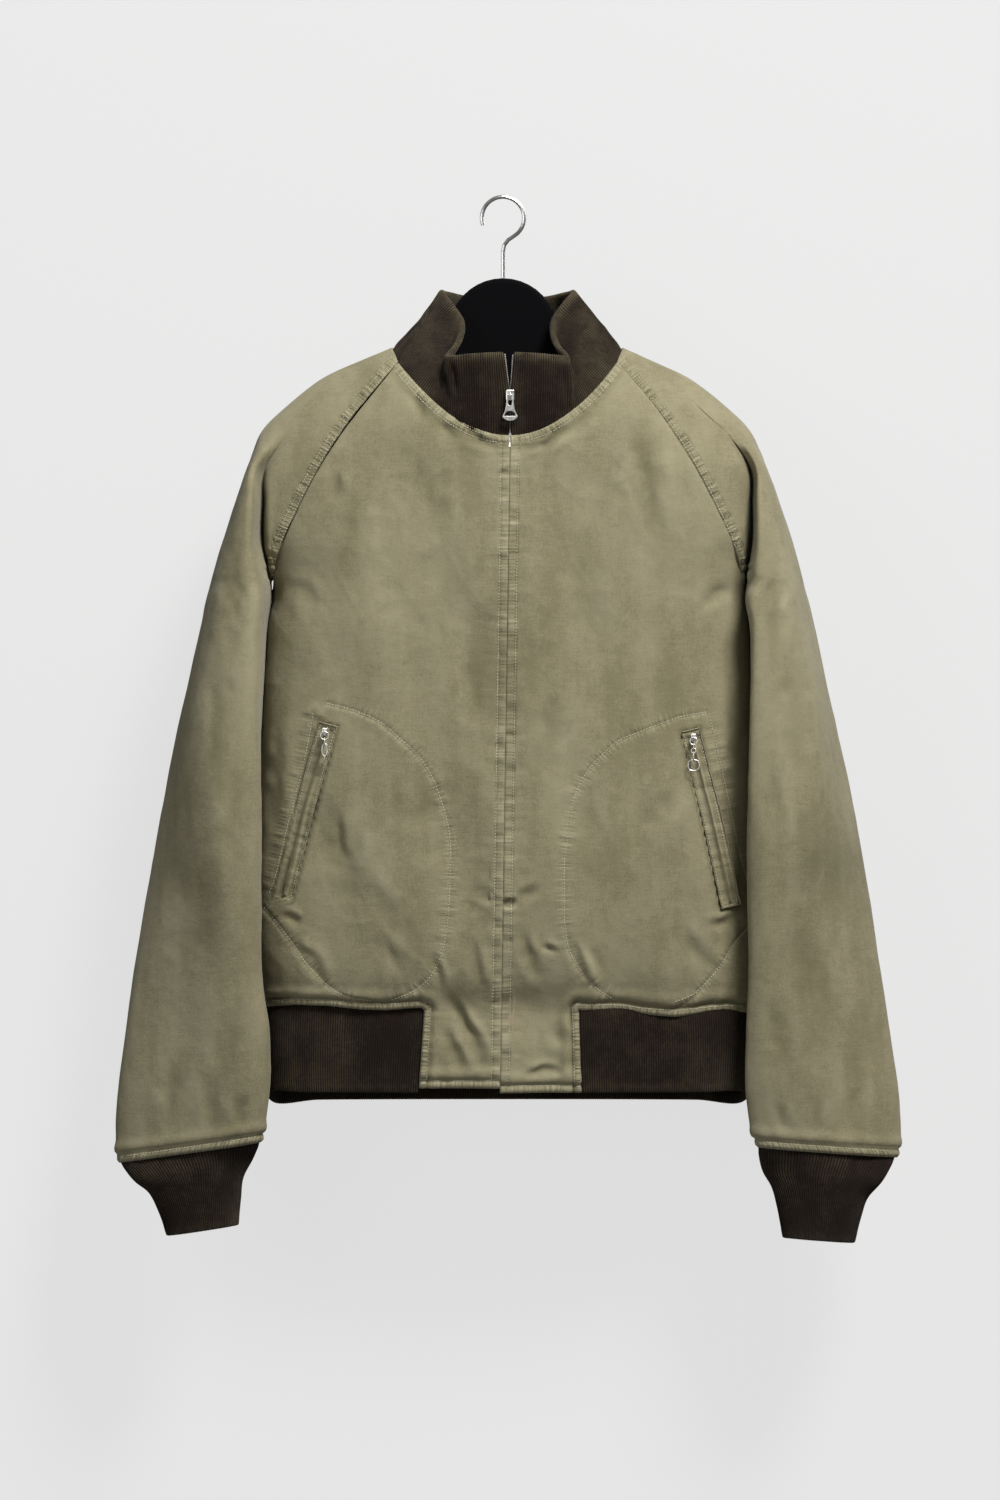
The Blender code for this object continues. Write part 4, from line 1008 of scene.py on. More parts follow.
def rumples(u, v, seed):
    """Soft hanging folds, which run mostly down the cloth, with smaller unevenness and sharp small rucks."""
    lean = u + 0.25 * v
    rucks = 1 - np.abs(noise((u - 0.6 * v) / 21, v / 30, seed + 4)) * 2.2
    cross = 1 - np.abs(noise((u + 0.7 * v) / 27 + 4, v / 33, seed + 5)) * 2.2
    where = soft(0.5 + 1.2 * noise(u / 60 + 2, v / 60, seed + 6))
    return (
        3.4 * noise(lean / 40, v / 150, seed)
        + 1.0 * noise(u / LONG_RUMPLE, v / LONG_RUMPLE, seed + 3)
        + 0.45 * noise(u / SHORT_RUMPLE + 9, v / SHORT_RUMPLE, seed + 1)
        + 0.16 * noise(u / FINE_RUMPLE, v / FINE_RUMPLE + 5, seed + 2)
        + 0.35 * where * np.clip(rucks, 0, 1) ** 2
        + 0.3 * (1 - where) * np.clip(cross, 0, 1) ** 2
    )


def broad_relief(x, z):
    """The front's folds and creases, the same for all that lies on it. It is still by the pocket pulls."""
    relief = rumples(x, z * 0.8, SEEDS["front"]) + crease_relief(x, z, FRONT_CREASES)
    for side in (-1, 1):
        top = POCKET_TOP[side]
        down = np.clip(top[1] - z, 0, 44)
        away = np.hypot(x - top[0] - side * 3, z - top[1] + down)
        still = np.exp(-((away / 17) ** 4))
        relief = relief * (1 - still) + np.minimum(relief, 0.2) * still * 0.4
    return relief


def crease_relief(x, z, creases):
    total = np.zeros_like(x)
    wander = noise(x / 11, z / 14, SEEDS["wander"])
    for crease in creases:
        run, drop = crease.to_x - crease.x, crease.to_z - crease.z
        length = math.hypot(run, drop)
        t = ((x - crease.x) * run + (z - crease.z) * drop) / length**2
        across = ((z - crease.z) * run - (x - crease.x) * drop) / length - crease.bow * 4 * t * (1 - t)
        off = across / (crease.width * CREASE_NARROW) + 0.4 * wander
        fading = np.clip(1 - (2 * t - 1) ** 2, 0, 1) ** 1.4 * (1 + 0.5 * wander)
        trough = hump(off, 0, 1) - 0.55 * hump(off, 1.7, 1) - 0.25 * hump(off, -2.2, 1)
        total -= CREASE_GAIN * crease.depth * fading * trough
    return total


def from_line(x, z, line):
    """Distance from a line of (x, z) points, and the distance along it."""
    best = np.full_like(x, 1e9)
    along = np.zeros_like(x)
    done = 0.0
    for (x0, z0), (x1, z1) in zip(line, line[1:]):
        length = math.hypot(x1 - x0, z1 - z0)
        t = ((x - x0) * (x1 - x0) + (z - z0) * (z1 - z0)) / length**2
        t = np.clip(t, 0, 1)
        away = np.hypot(x - x0 - t * (x1 - x0), z - z0 - t * (z1 - z0))
        nearer = away < best
        best = np.where(nearer, away, best)
        along = np.where(nearer, done + t * length, along)
        done += length
    return best, along


def edge_roll(away, drop=EDGE_DROP, radius=EDGE_RADIUS):
    """How far a turned edge falls away from the surface."""
    return -drop * (1 - np.sqrt(1 - np.clip(1 - away / radius, 0, 1) ** 2))


def row_groove(away, at, depth=0.6, width=1.0):
    """The dent that a row of stitches pulls."""
    return -depth * hump(away, at, width)


def band(away, start, end, blur=2.0):
    """1 between two distances, with soft edges outside them."""
    return soft((away - start + blur) / blur) * soft((end + blur - away) / blur)


def strip_relief(away, along, seed):
    """The narrow stitched strip beside the knit, with the cloth swelling over it."""
    inside = np.clip(away / STRIP, 0, 1)
    body = 0.75 * np.sin(np.pi * inside) ** 0.6 * (away < STRIP)
    ridges = 0.6 * ripple(along, 4.8, seed) * band(away, 0.8, STRIP - 1, 1.0)
    crease = -1.8 * hump(away - STRIP, 0.6, 1.2)
    swell = 1.9 * hump(away - STRIP, 6.5, 5.0)
    gathers = 1.3 * ripple(along, 15, seed + 1) * fall(np.clip(away - STRIP, 0, 99), 13) * (away > STRIP)
    return edge_roll(away, 0.9, 1.6) + body + ridges + crease + swell + gathers


def seam_relief(away, along, seed, rows=SEAM_ROWS, strength=1.0):
    """A topstitched seam: its turned edge, the dents of its rows, and the puckers between them."""
    puckers = ripple(along, RUCK_PITCH, seed) * 0.8 + ripple(along + away, FINE_RUCK_PITCH, seed + 1) * 0.35
    relief = edge_roll(away) + puckers * strength * settings().pucker * band(away, 1.5, rows[-1] + 1.5, 2.5)
    for at in rows:
        relief += row_groove(away, at)
    return relief + 0.35 * band(away, rows[0], rows[-1], 1.5)


def raglan_line(side, face):
    """Points (x, z) of the raglan seam, from the neck to the side fold."""
    top = FRONT_SEAM_TOP[1] if face < 0 else BACK_SEAM_TOP[1]
    return [(side * seam_x(z, face), z) for z in (top, *(row.z for row in RAGLAN[2:]))]


def neck_places(side, shares):
    """Points (x, z) of the neck seam at these places on its ring."""
    return [(side * x, z) for x, z, _ in map(neck_spot, shares)]


def neck_line(side, face):
    return neck_places(side, np.linspace(0, 0.5, 12) if face < 0 else np.linspace(NECK_BACK_START, 1, 8))


def hem_rise(x, y, z):
    """How far the hem seam's waves lift the cloth or the knit near it. The back has smaller ones."""
    xs, rises = [wave.x for wave in HEM_WAVE], [wave.rise for wave in HEM_WAVE]
    in_front = soft(0.5 - y / 40)
    rise = np.interp(x, xs, rises) * in_front + 0.5 * np.interp(-x, xs, rises) * (1 - in_front)
    return rise * hump(z, HEM_SEAM_Z, 22)


def strongest(*strips):
    """Of puckered strips as (mask, distance along), the one that is strongest at each point."""
    masks = np.stack([np.clip(mask, 0, 1) for mask, _ in strips])
    places = np.stack([along + 0.0 * masks[0] for _, along in strips])
    best = masks.argmax(axis=0)[None]
    return np.take_along_axis(masks, best, 0)[0], np.take_along_axis(places, best, 0)[0]


def seam_line(away, width):
    """How strongly a strip beside a seam is puckered."""
    return band(away, 0.6, width, 1.2)


FrontLines = namedtuple("FrontLines", "to_zip neck raglan hem end bag lower outer window")


def front_lines(side, x, z):
    """Distances from a front panel's edges and stitch lines. A pair also has the distance along the line."""
    tab_x, tab_end_x = TAB_X[side]
    beyond_fold = side * read(BODY, "fold", HEM_SEAM_Z) * 1.03
    hem_line = ((beyond_fold, HEM_SEAM_Z), (tab_x, HEM_SEAM_Z), (tab_end_x, TAB_END_Z[side]))
    return FrontLines(
        to_zip=np.abs(x - zip_x(z)),
        neck=from_line(x, z, neck_line(side, -1)),
        raglan=from_line(x, z, raglan_line(side, -1))[0],
        hem=from_line(x, z, hem_line),
        end=z - TAB_END_Z[side],
        bag=from_line(x, z, BAG_LINES[side]),
        lower=from_line(x, z, BAG_LOWER_LINES[side]),
        outer=from_line(x, z, POCKET_OUTER_LINES[side]),
        window=window_distance(side, x, z),
    )


FrontPuckers = namedtuple("FrontPuckers", "zip bag lower outer between")


def front_puckers(side, z, lines):
    """Puckers beside the zip and the pocket's lines. between: a mask from the outer line to the window."""
    return FrontPuckers(
        zip=0.85 * ripple(z, 10.0, SEEDS["zip"] + side) + 0.35 * ripple(z, 5.6, SEEDS["fine_zip"] + side),
        bag=ripple(lines.bag[1], 9.0, SEEDS["bag"] + side),
        lower=ripple(lines.lower[1], 8.0, SEEDS["lower"] + side),
        outer=ripple(lines.outer[1], 8.5, SEEDS["outer"] + side),
        between=hump(lines.outer[0], 5, 5) * (lines.window > 0),
    )


def front_shape(side, x, z, lines, puckers):
    """A front panel's relief: folds, seams and pocket lines, and the hollow behind the welts."""
    to_zip, window, pucker = lines.to_zip, lines.window, settings().pucker
    relief = broad_relief(x, z)
    relief += seam_relief(*lines.neck, SEEDS["neck"] + side, strength=0.8)
    relief += edge_roll(lines.raglan, RAGLAN_DROP)
    relief += edge_roll(to_zip, 1.0, 1.4) + row_groove(to_zip, ZIP_ROW, 0.8)
    relief += pucker * puckers.zip * (band(to_zip, 1.5, ZIP_ROW, 2) + 0.4 * band(to_zip, ZIP_ROW, 16, 7))
    relief += strip_relief(*lines.hem, SEEDS["hem"] + side) + strip_relief(lines.end, x, SEEDS["end"] + side)
    for (away, _), waves, deep in ((lines.bag, puckers.bag, 1.1), (lines.lower, puckers.lower, 1.0)):
        relief += -deep * hump(away, 0, 1.4)
        relief += (0.12 + 0.6 * waves * pucker) * hump(away, 4, 4.5)
    relief += -0.8 * hump(lines.outer[0], 0, 1.3)
    relief += 0.85 * pucker * puckers.outer * puckers.between
    relief += 0.5 * hump(window, 0, 3.0) - 1.2 * hump(window, 1.0, 0.9)
    return relief - WINDOW_DEPTH * soft((-window - 0.2) / 1.4)


def front_wear_and_shade(side, x, z, lines, puckers):
    """How much the dye is rubbed off, above 0 at edges and ridges; below 0 it is painted shade in creases,
    grooves and pucker dips, and darker in a band beside the neck seam.
    """
    to_zip, window = lines.to_zip, lines.window
    (hem, _), (neck, neck_along), (bag, _) = lines.hem, lines.neck, lines.bag
    wear_and_painted_light = 0.4 * fall(hem, 4) + 0.4 * fall(np.abs(lines.end), 4) + 0.12 * fall(neck, 5)
    # Pucker tones: paler on the ridges from wear, darker in the dips as painted shade.
    wear_and_painted_light += 0.3 * fall(to_zip, 3.5) + 0.2 * fall(bag, 2) + 0.25 * puckers.bag * fall(bag, 5)
    wear_and_painted_light += band(to_zip, 0, ZIP_ROW + 1, 2) * puckers.zip * 0.7 + 0.2 * fall(lines.raglan, 3)
    wear_and_painted_light += 0.5 * ripple(neck_along, RUCK_PITCH, SEEDS["neck"] + side) * band(neck, 1, SEAM_ROWS[1] + 1, 2)
    wear_and_painted_light += 0.5 * puckers.outer * puckers.between
    # Painted shade in the crease under the hem strip, the groove round the pocket window and the zip's
    # stitch groove; darker also in a band beside the neck seam.
    wear_and_painted_light -= 0.6 * hump(hem - STRIP, 0.8, 1.8) + 0.4 * hump(neck - SEAM_ROWS[1], 3, 3)
    wear_and_painted_light -= 0.8 * hump(window, 1.0, 1.1) + 0.3 * hump(to_zip, ZIP_ROW, 1.0)
    # Crease tone: paler ridges from wear, painted shade in the troughs.
    return wear_and_painted_light + tone_of(crease_relief(x, z, FRONT_CREASES))


def front_relief(side, x, z):
    """A front panel's relief, its wear with painted shade, and the mask of its puckered strips with the
    distance along them.
    """
    lines = front_lines(side, x, z)
    puckers = front_puckers(side, z, lines)
    (hem, hem_along), (neck, neck_along) = lines.hem, lines.neck
    (bag, bag_along), (lower, lower_along) = lines.bag, lines.lower
    strips = strongest(
        (seam_line(hem, STRIP - 0.5), hem_along),
        (seam_line(lines.end, STRIP - 0.5), x),
        (0.75 * seam_line(neck, SEAM_ROWS[1] + 1), neck_along),
        (0.4 * seam_line(lines.to_zip, ZIP_ROW + 0.6), z),
        (0.45 * hump(bag, 2, 4), bag_along),
        (0.45 * hump(lower, 2, 4), lower_along),
        (0.3 * puckers.between, lines.outer[1]),
    )
    return front_shape(side, x, z, lines, puckers), front_wear_and_shade(side, x, z, lines, puckers), *strips


def tone_of(creases):
    """The dye wears off a crease's ridges, and its trough gets painted shade."""
    return np.clip(0.2 * creases, -0.4, 0.3)


def window_distance(side, x, z):
    """Distance outside a pocket's window, negative inside it."""
    top, run, drop, length = pocket_axis(side)
    along = (x - top[0]) * run + (z - top[1]) * drop
    off = np.abs((z - top[1]) * run - (x - top[0]) * drop)
    return np.maximum(np.maximum(-along, along - length), off - WELT_WIDTH / 2)


def back_relief(x, z):
    """The back panel's relief, wear with painted shade, and puckered strips, as front_relief gives them."""
    neck = np.minimum(*(from_line(x, z, neck_line(side, 1))[0] for side in (-1, 1)))
    raglan = np.minimum(*(from_line(x, z, raglan_line(side, 1))[0] for side in (-1, 1)))
    hem = z - HEM_SEAM_Z
    relief = rumples(x, z * 0.8, SEEDS["back"]) + crease_relief(x, z, BACK_CREASES)
    relief += seam_relief(neck, x, SEEDS["back_neck"], strength=0.7) + edge_roll(raglan, RAGLAN_DROP)
    relief += strip_relief(hem, x, SEEDS["back_hem"])
    wear_and_painted_light = HEM_WEAR * fall(hem, 4) + 0.45 * fall(neck, 5) + 0.2 * fall(raglan, 3)
    # Crease tone: paler ridges from wear, painted shade in the troughs.
    wear_and_painted_light += tone_of(crease_relief(x, z, BACK_CREASES))
    strips = strongest((seam_line(hem, STRIP - 0.5), x), (0.75 * seam_line(neck, SEAM_ROWS[1] + 1), x))
    return relief, wear_and_painted_light, *strips


def cuff_span(side):
    """The cuff seam's two ends, as distances from the centre line."""
    tip = read(TUBE, "tip_left" if side < 0 else "tip_right", CUFF_SEAM_Z)
    return tip, read(TUBE, "tail_x", CUFF_SEAM_Z)


def cuff_line_z(side, x):
    """Height of the cuff's seam, which slopes across the sleeve."""
    return CUFF_SEAM_Z - CUFF_TILT[side] * (side * x - sum(cuff_span(side)) / 2) / SLEEVE_HALF_WIDTH


def sleeve_relief(side, x, y, z, along):
    """The same for a sleeve. Its back has the other sleeve's creases, a little lower and softer."""
    relief = 0.6 * rumples(along + 400 * (side + 1), z * 0.7, SEEDS["sleeve"] + side)
    face = np.where(y < 0, -1, 1)
    creases = crease_relief(side * x, z, SLEEVE_CREASES[side])
    creases = np.where(face < 0, creases, 0.8 * crease_relief(side * x, z - 14, SLEEVE_CREASES[-side]))
    relief += creases
    hem = z - cuff_line_z(side, x)
    # Crease tone: paler ridges from wear, painted shade in the troughs; the cuff's edge is paler from wear.
    wear_and_painted_light = tone_of(creases) + HEM_WEAR * fall(np.abs(hem), 4)
    wear_and_painted_light += 0.2 * np.exp(-np.abs(np.hypot(np.abs(x) - NECK_HALF_WIDTH, z - NECK_SIDE_Z) - 6) / 5)
    strips = [(seam_line(hem, STRIP - 0.5), along)]
    for facing in (-1, 1):
        here = face == facing
        raglan, raglan_along = from_line(x, z, raglan_line(side, facing))
        seed = SEEDS["raglan"] + side + 4 * facing
        seam = seam_relief(raglan, raglan_along, seed, strength=1.3) - 0.5 * hump(raglan, 0, 2)
        relief += np.where(here, seam, 0.0)
        ruck = ripple(raglan_along, RUCK_PITCH, seed)
        ruck += 0.5 * ripple(raglan_along + raglan, FINE_RUCK_PITCH, seed + 1)
        strip = np.where(here, seam_line(raglan, SEAM_ROWS[1] + 1.2), 0.0)
        # Painted shade along the raglan strip and in its pucker dips; paler pucker ridges from wear.
        wear_and_painted_light += strip * (0.4 * ruck - 0.15)
        strips.append((strip, raglan_along))
    relief += strip_relief(hem, along, SEEDS["sleeve_hem"] + side)
    return relief, wear_and_painted_light, *strongest(*strips)


# Meshes ---------------------------------------------------------------------------------------------------


def linked(name, data):
    """A new object in the scene."""
    obj = bpy.data.objects.new(name, data)
    bpy.context.scene.collection.objects.link(obj)
    return obj


def finished(obj, finish_name):
    obj.data.materials.clear()
    obj.data.materials.append(finish(finish_name))


def teeth_piece(name, verts, faces):
    mesh = bpy.data.meshes.new(name)
    mesh.from_pydata(verts, [], faces)
    made = linked(name, mesh)
    finished(made, "nickel")
    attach(made, BODY_NAME)


CLOTH_MARKS = ("wear_and_painted_light", "seam", "along")  # attributes: wear with painted shade and light, the mask of puckered strips, and mm along them
MERGE = 0.00004


def cells(rows, columns):
    """The four corners of each cell of a grid, as point numbers."""
    index = np.arange(rows * columns).reshape(rows, columns)
    return np.stack([index[:-1, :-1], index[:-1, 1:], index[1:, 1:], index[1:, :-1]], axis=2)


def cloth_mesh(name, grid, thickness=CLOTH, sign=1, kept=None):
    """A mesh from a grid (points, u and v in mm, wear with painted shade and light[, seam, along]).
    Coinciding points are merged.

    kept: which of its cells have cloth. A thickness gives its edges a wall.
    """
    points, u, v, *marks = grid
    marks += [np.zeros_like(marks[0])] * (len(CLOTH_MARKS) - len(marks))
    quads = cells(*points.shape[:2])
    quads = quads.reshape(-1, 4) if kept is None else quads[kept]
    used, faces = np.unique(quads[:, ::-1] if sign < 0 else quads, return_inverse=True)
    faces = faces.reshape(-1, 4)
    verts = (points.reshape(-1, 3)[used] + np.array([CENTRE_X, 0, 0])) * MM
    uvs = np.stack([u.ravel(), v.ravel()], axis=1)[used] * MM
    mesh = bpy.data.meshes.new(name)
    mesh.from_pydata(verts.tolist(), [], faces.tolist())
    mesh.uv_layers.new(name="cut").data.foreach_set("uv", uvs[faces.ravel()].ravel())
    for label, mark in zip(CLOTH_MARKS, marks):
        values = np.ascontiguousarray(mark.ravel()[used], np.float32)
        mesh.attributes.new(label, "FLOAT", "POINT").data.foreach_set("value", values)
    shape = bmesh.new()
    shape.from_mesh(mesh)
    bmesh.ops.remove_doubles(shape, verts=shape.verts, dist=MERGE)
    shape.to_mesh(mesh)
    shape.free()
    mesh.shade_smooth()
    obj = linked(name, mesh)
    if thickness:
        wall = obj.modifiers.new("wall", "SOLIDIFY")
        wall.thickness = thickness * MM
        wall.offset = -1.0
        wall.use_rim_only = True
    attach(obj, BODY_NAME)
    return obj


def surface_of(points):
    """A search tree over one grid of points in mm."""
    quads = cells(*points.shape[:2]).reshape(-1, 4)
    return BVHTree.FromPolygons(points.reshape(-1, 3).tolist(), quads.tolist(), epsilon=0.0)


def on_surface(tree, x, z, face):
    """The outermost point of a surface at x and z, seen from the front (face -1) or the back (1)."""
    hit = tree.ray_cast(Vector((x, 400 * face, z)), Vector((0, -face, 0)))
    if hit[0] is None:
        return None
    normal = hit[1] if hit[1].y * face > 0 else -hit[1]
    return hit[0], normal


def resampled(line, pitch):
    """Points at even steps along a line."""
    line = np.array(line, float)
    steps = np.linalg.norm(np.diff(line, axis=0), axis=1)
    places = np.concatenate([[0.0], np.cumsum(steps)])
    at = np.linspace(0, places[-1], max(2, int(round(places[-1] / pitch)) + 1))
    return np.stack([np.interp(at, places, line[:, i]) for i in range(line.shape[1])], axis=1)


def smooth_line(line, count=6):
    """A line through the same points, with this many steps between each two of them."""
    grid = np.array(line, float)[:, None, :]
    at = np.linspace(0, len(line) - 1, (len(line) - 1) * count + 1)
    return curved(grid, at)[:, 0, :]


THREAD_SIDES = 4
THREAD_TURNS = [math.tau * i / THREAD_SIDES for i in range(THREAD_SIDES)]
THREAD_RING = [(math.cos(turn), 0.8 * math.sin(turn)) for turn in THREAD_TURNS]  # a little flattened
Row = namedtuple("Row", "share wide high")
THREAD_ROWS = (Row(0.0, 0.4, -0.3), Row(0.28, 1.0, 0.2), Row(0.72, 1.0, 0.2), Row(1.0, 0.4, -0.3))
LONGEST_STITCH = 2.2  # stitch lengths: a longer step jumps from one surface to another


def stitches(name, surface, lines, face=-1):
    """Topstitching: a short arched thread for each stitch of each (x, z) line, laid on the cloth."""
    pitch = settings().stitch_length / MM
    radius = settings().thread_radius / MM
    verts, faces = [], []
    for line in lines:
        spots = [on_surface(surface, x, z, face) for x, z in resampled(line, pitch)]
        for first, second in zip(spots, spots[1:]):
            if first is None or second is None or (second[0] - first[0]).length > LONGEST_STITCH * pitch:
                continue
            along = (second[0] - first[0]) * 0.86
            up = (first[1] + second[1]).normalized()
            across = along.cross(up).normalized()
            start = len(verts)
            for share, wide, high in THREAD_ROWS:
                middle = first[0] + along * (share + 0.07) + up * (high + 0.08) + Vector((CENTRE_X, 0, 0))
                ring = [middle + (across * c + up * s) * radius * wide for c, s in THREAD_RING]
                verts += [tuple(spot * MM) for spot in ring]
            for first_of_ring in range(start, len(verts) - THREAD_SIDES, THREAD_SIDES):
                for i in range(THREAD_SIDES):
                    a, b = first_of_ring + i, first_of_ring + (i + 1) % THREAD_SIDES
                    faces.append((a, b, b + THREAD_SIDES, a + THREAD_SIDES))
            faces.append(tuple(start + i for i in range(THREAD_SIDES - 1, -1, -1)))
            faces.append(tuple(len(verts) - THREAD_SIDES + i for i in range(THREAD_SIDES)))
    mesh = bpy.data.meshes.new(name)
    mesh.from_pydata(verts, [], faces)
    mesh.shade_smooth()
    obj = linked(name, mesh)
    finished(obj, "thread")
    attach(obj, BODY_NAME)


# Finishes -------------------------------------------------------------------------------------------------


COTTON_CLOUDS = 9.0  # of uneven dye, to the metre
KNIT_CLOUDS = 14.0


def group_of(name, inputs, outputs):
    """A shader node group with these sockets: {name: (type, default)}."""
    tree = bpy.data.node_groups.new(name, "ShaderNodeTree")
    for label, (kind, default) in inputs.items():
        socket = tree.interface.new_socket(name=label, in_out="INPUT", socket_type=kind)
        socket.default_value = default
    for label, kind in outputs.items():
        tree.interface.new_socket(name=label, in_out="OUTPUT", socket_type=kind)
    return tree, tree.nodes.new("NodeGroupInput"), tree.nodes.new("NodeGroupOutput")


def node(tree, kind, links=(), **values):
    """A new node with these settings, and sockets linked to its inputs by number."""
    made = tree.nodes.new(kind)
    for key, value in values.items():
        setattr(made, key, value)
    for index, socket in links:
        tree.links.new(socket, made.inputs[index])
    return made


def math_node(tree, operation, *values):
    made = tree.nodes.new("ShaderNodeMath")
    made.operation = operation
    for i, value in enumerate(values):
        if isinstance(value, (int, float)):
            made.inputs[i].default_value = value
        else:
            tree.links.new(value, made.inputs[i])
    return made.outputs[0]


def mixed(tree, share, first, second):
    """A colour between two, each of them a value or a socket."""
    made = node(tree, "ShaderNodeMix", data_type="RGBA")
    for index, value in ((0, share), (6, first), (7, second)):
        if isinstance(value, (int, float, tuple)):
            made.inputs[index].default_value = value
        else:
            tree.links.new(value, made.inputs[index])
    return made.outputs[2]


def rgba(colour, by=1.0):
    return (*(by * value for value in colour), 1)


def place_in(tree):
    return node(tree, "ShaderNodeTexCoord").outputs["Object"]


def noise_node(tree, vector, scale, detail=3.0, rough=0.55):
    made = node(tree, "ShaderNodeTexNoise", [(0, vector)])
    made.inputs["Scale"].default_value = scale
    made.inputs["Detail"].default_value = detail
    made.inputs["Roughness"].default_value = rough
    return made.outputs[0]


def ramp(tree, value, low, high):
    """0 at the low value, 1 at the high one."""
    made = node(tree, "ShaderNodeMapRange", [(0, value)])
    made.inputs[1].default_value = low
    made.inputs[2].default_value = high
    return made.outputs[0]


def dye_and_painted_light_group():
    """Uneven garment dye: broad clouds, small mottling, slubs, and wear where the cloth is rubbed. Below 0
    the rubbing input paints shade with the deep colour; above 0 it pales the cloth, which on the knit
    collar's wings is painted light.
    """
    colour, number, vector = "NodeSocketColor", "NodeSocketFloat", "NodeSocketVector"
    tree, inside, outside = group_of(
        "uneven_dye_and_painted_light",
        {
            "Cloth": (colour, (0.2, 0.2, 0.1, 1)), "Worn": (colour, (0.4, 0.35, 0.2, 1)),
            "Deep": (colour, (0.1, 0.1, 0.05, 1)), "Rubbing_and_painted_light": (number, 0.0), "Clouds": (number, COTTON_CLOUDS),
            "Place": (vector, (0, 0, 0)),
        },
        {"Color": colour},
    )
    place = inside.outputs["Place"]
    clouds = noise_node(tree, place, COTTON_CLOUDS, 4.0, 0.6)
    tree.links.new(inside.outputs["Clouds"], clouds.node.inputs["Scale"])
    stretched = node(tree, "ShaderNodeVectorMath", [(0, place)], operation="MULTIPLY")
    stretched.inputs[1].default_value = (1.0, 1.0, 0.22)
    smear = noise_node(tree, stretched.outputs[0], 26.0, 3.0, 0.6)
    across = node(tree, "ShaderNodeVectorMath", [(0, place)], operation="MULTIPLY")
    across.inputs[1].default_value = (0.12, 0.12, 1.0)
    warp = noise_node(tree, stretched.outputs[0], 900.0, 2.0, 0.6)
    weft = noise_node(tree, across.outputs[0], 800.0, 2.0, 0.6)
    grain = math_node(tree, "ADD", warp, weft)
    mottle = noise_node(tree, place, 90.0, 5.0, 0.7)
    speck = noise_node(tree, place, 620.0, 3.0, 0.7)
    shade = math_node(tree, "MULTIPLY_ADD", clouds, 0.8, math_node(tree, "MULTIPLY", mottle, 0.35))
    shade = math_node(tree, "MULTIPLY_ADD", smear, 0.9, shade)
    shade = math_node(tree, "MULTIPLY_ADD", grain, 0.32, shade)
    shade = math_node(tree, "MULTIPLY_ADD", speck, 0.5, math_node(tree, "SUBTRACT", shade, 0.46))
    base = mixed(tree, ramp(tree, shade, 0.45, 1.12), inside.outputs["Deep"], inside.outputs["Cloth"])
    base = mixed(tree, ramp(tree, shade, 1.02, 2.0), base, inside.outputs["Worn"])
    rub_and_painted_light = math_node(tree, "MULTIPLY", inside.outputs["Rubbing_and_painted_light"], ramp(tree, mottle, 0.25, 0.6))
    # Painted shade: where the rubbing input is below 0, the colour goes to the deep colour.
    painted_shade = math_node(tree, "MULTIPLY", inside.outputs["Rubbing_and_painted_light"], -0.9)
    base = mixed(tree, math_node(tree, "MAXIMUM", painted_shade, 0.0), base, inside.outputs["Deep"])
    # Paler towards the wear colour where the rubbing input is above 0: wear, and on the knit collar's wings
    # painted light.
    rubbed = mixed(tree, math_node(tree, "MAXIMUM", rub_and_painted_light, 0.0), base, inside.outputs["Worn"])
    tree.links.new(rubbed, outside.inputs["Color"])
    return tree


def twill_group():
    """Height of a fine twill weave over the cut's own coordinates."""
    number, vector = "NodeSocketFloat", "NodeSocketVector"
    tree, inside, outside = group_of(
        "twill_weave", {"Cut": (vector, (0, 0, 0)), "Threads": (number, 1500.0)}, {"Height": number}
    )
    parts = node(tree, "ShaderNodeSeparateXYZ", [(0, inside.outputs["Cut"])])
    diagonal = math_node(tree, "MULTIPLY_ADD", parts.outputs[1], 0.8, parts.outputs[0])
    turns = math_node(tree, "MULTIPLY", diagonal, inside.outputs["Threads"])
    line = math_node(tree, "SINE", math_node(tree, "MULTIPLY", turns, math.tau * 0.55))
    warp = math_node(tree, "SINE", math_node(tree, "MULTIPLY", parts.outputs[0], 8200.0))
    slub = noise_node(tree, inside.outputs["Cut"], 700.0, 3.0, 0.6)
    total = math_node(tree, "MULTIPLY_ADD", line, 0.35, math_node(tree, "MULTIPLY", warp, 0.15))
    tree.links.new(math_node(tree, "MULTIPLY_ADD", slub, 1.4, total), outside.inputs["Height"])
    return tree


def group_node(tree, name, maker):
    made = tree.nodes.new("ShaderNodeGroup")
    made.node_tree = bpy.data.node_groups.get(name) or maker()
    return made


def shader_of(name, roughness, metallic=0.0, sheen=0.0, specular=0.5):
    made = bpy.data.materials.new(name)
    made.use_nodes = True
    tree = made.node_tree
    shader = tree.nodes["Principled BSDF"]
    shader.inputs["Roughness"].default_value = roughness
    shader.inputs["Metallic"].default_value = metallic
    shader.inputs["Sheen Weight"].default_value = sheen
    shader.inputs["Sheen Roughness"].default_value = 0.4
    shader.inputs["Specular IOR Level"].default_value = specular
    return made, tree, shader


def bumped(tree, shader, height, strength, distance):
    made = node(tree, "ShaderNodeBump")
    made.inputs["Strength"].default_value = strength
    made.inputs["Distance"].default_value = distance
    tree.links.new(height, made.inputs["Height"])
    tree.links.new(made.outputs[0], shader.inputs["Normal"])


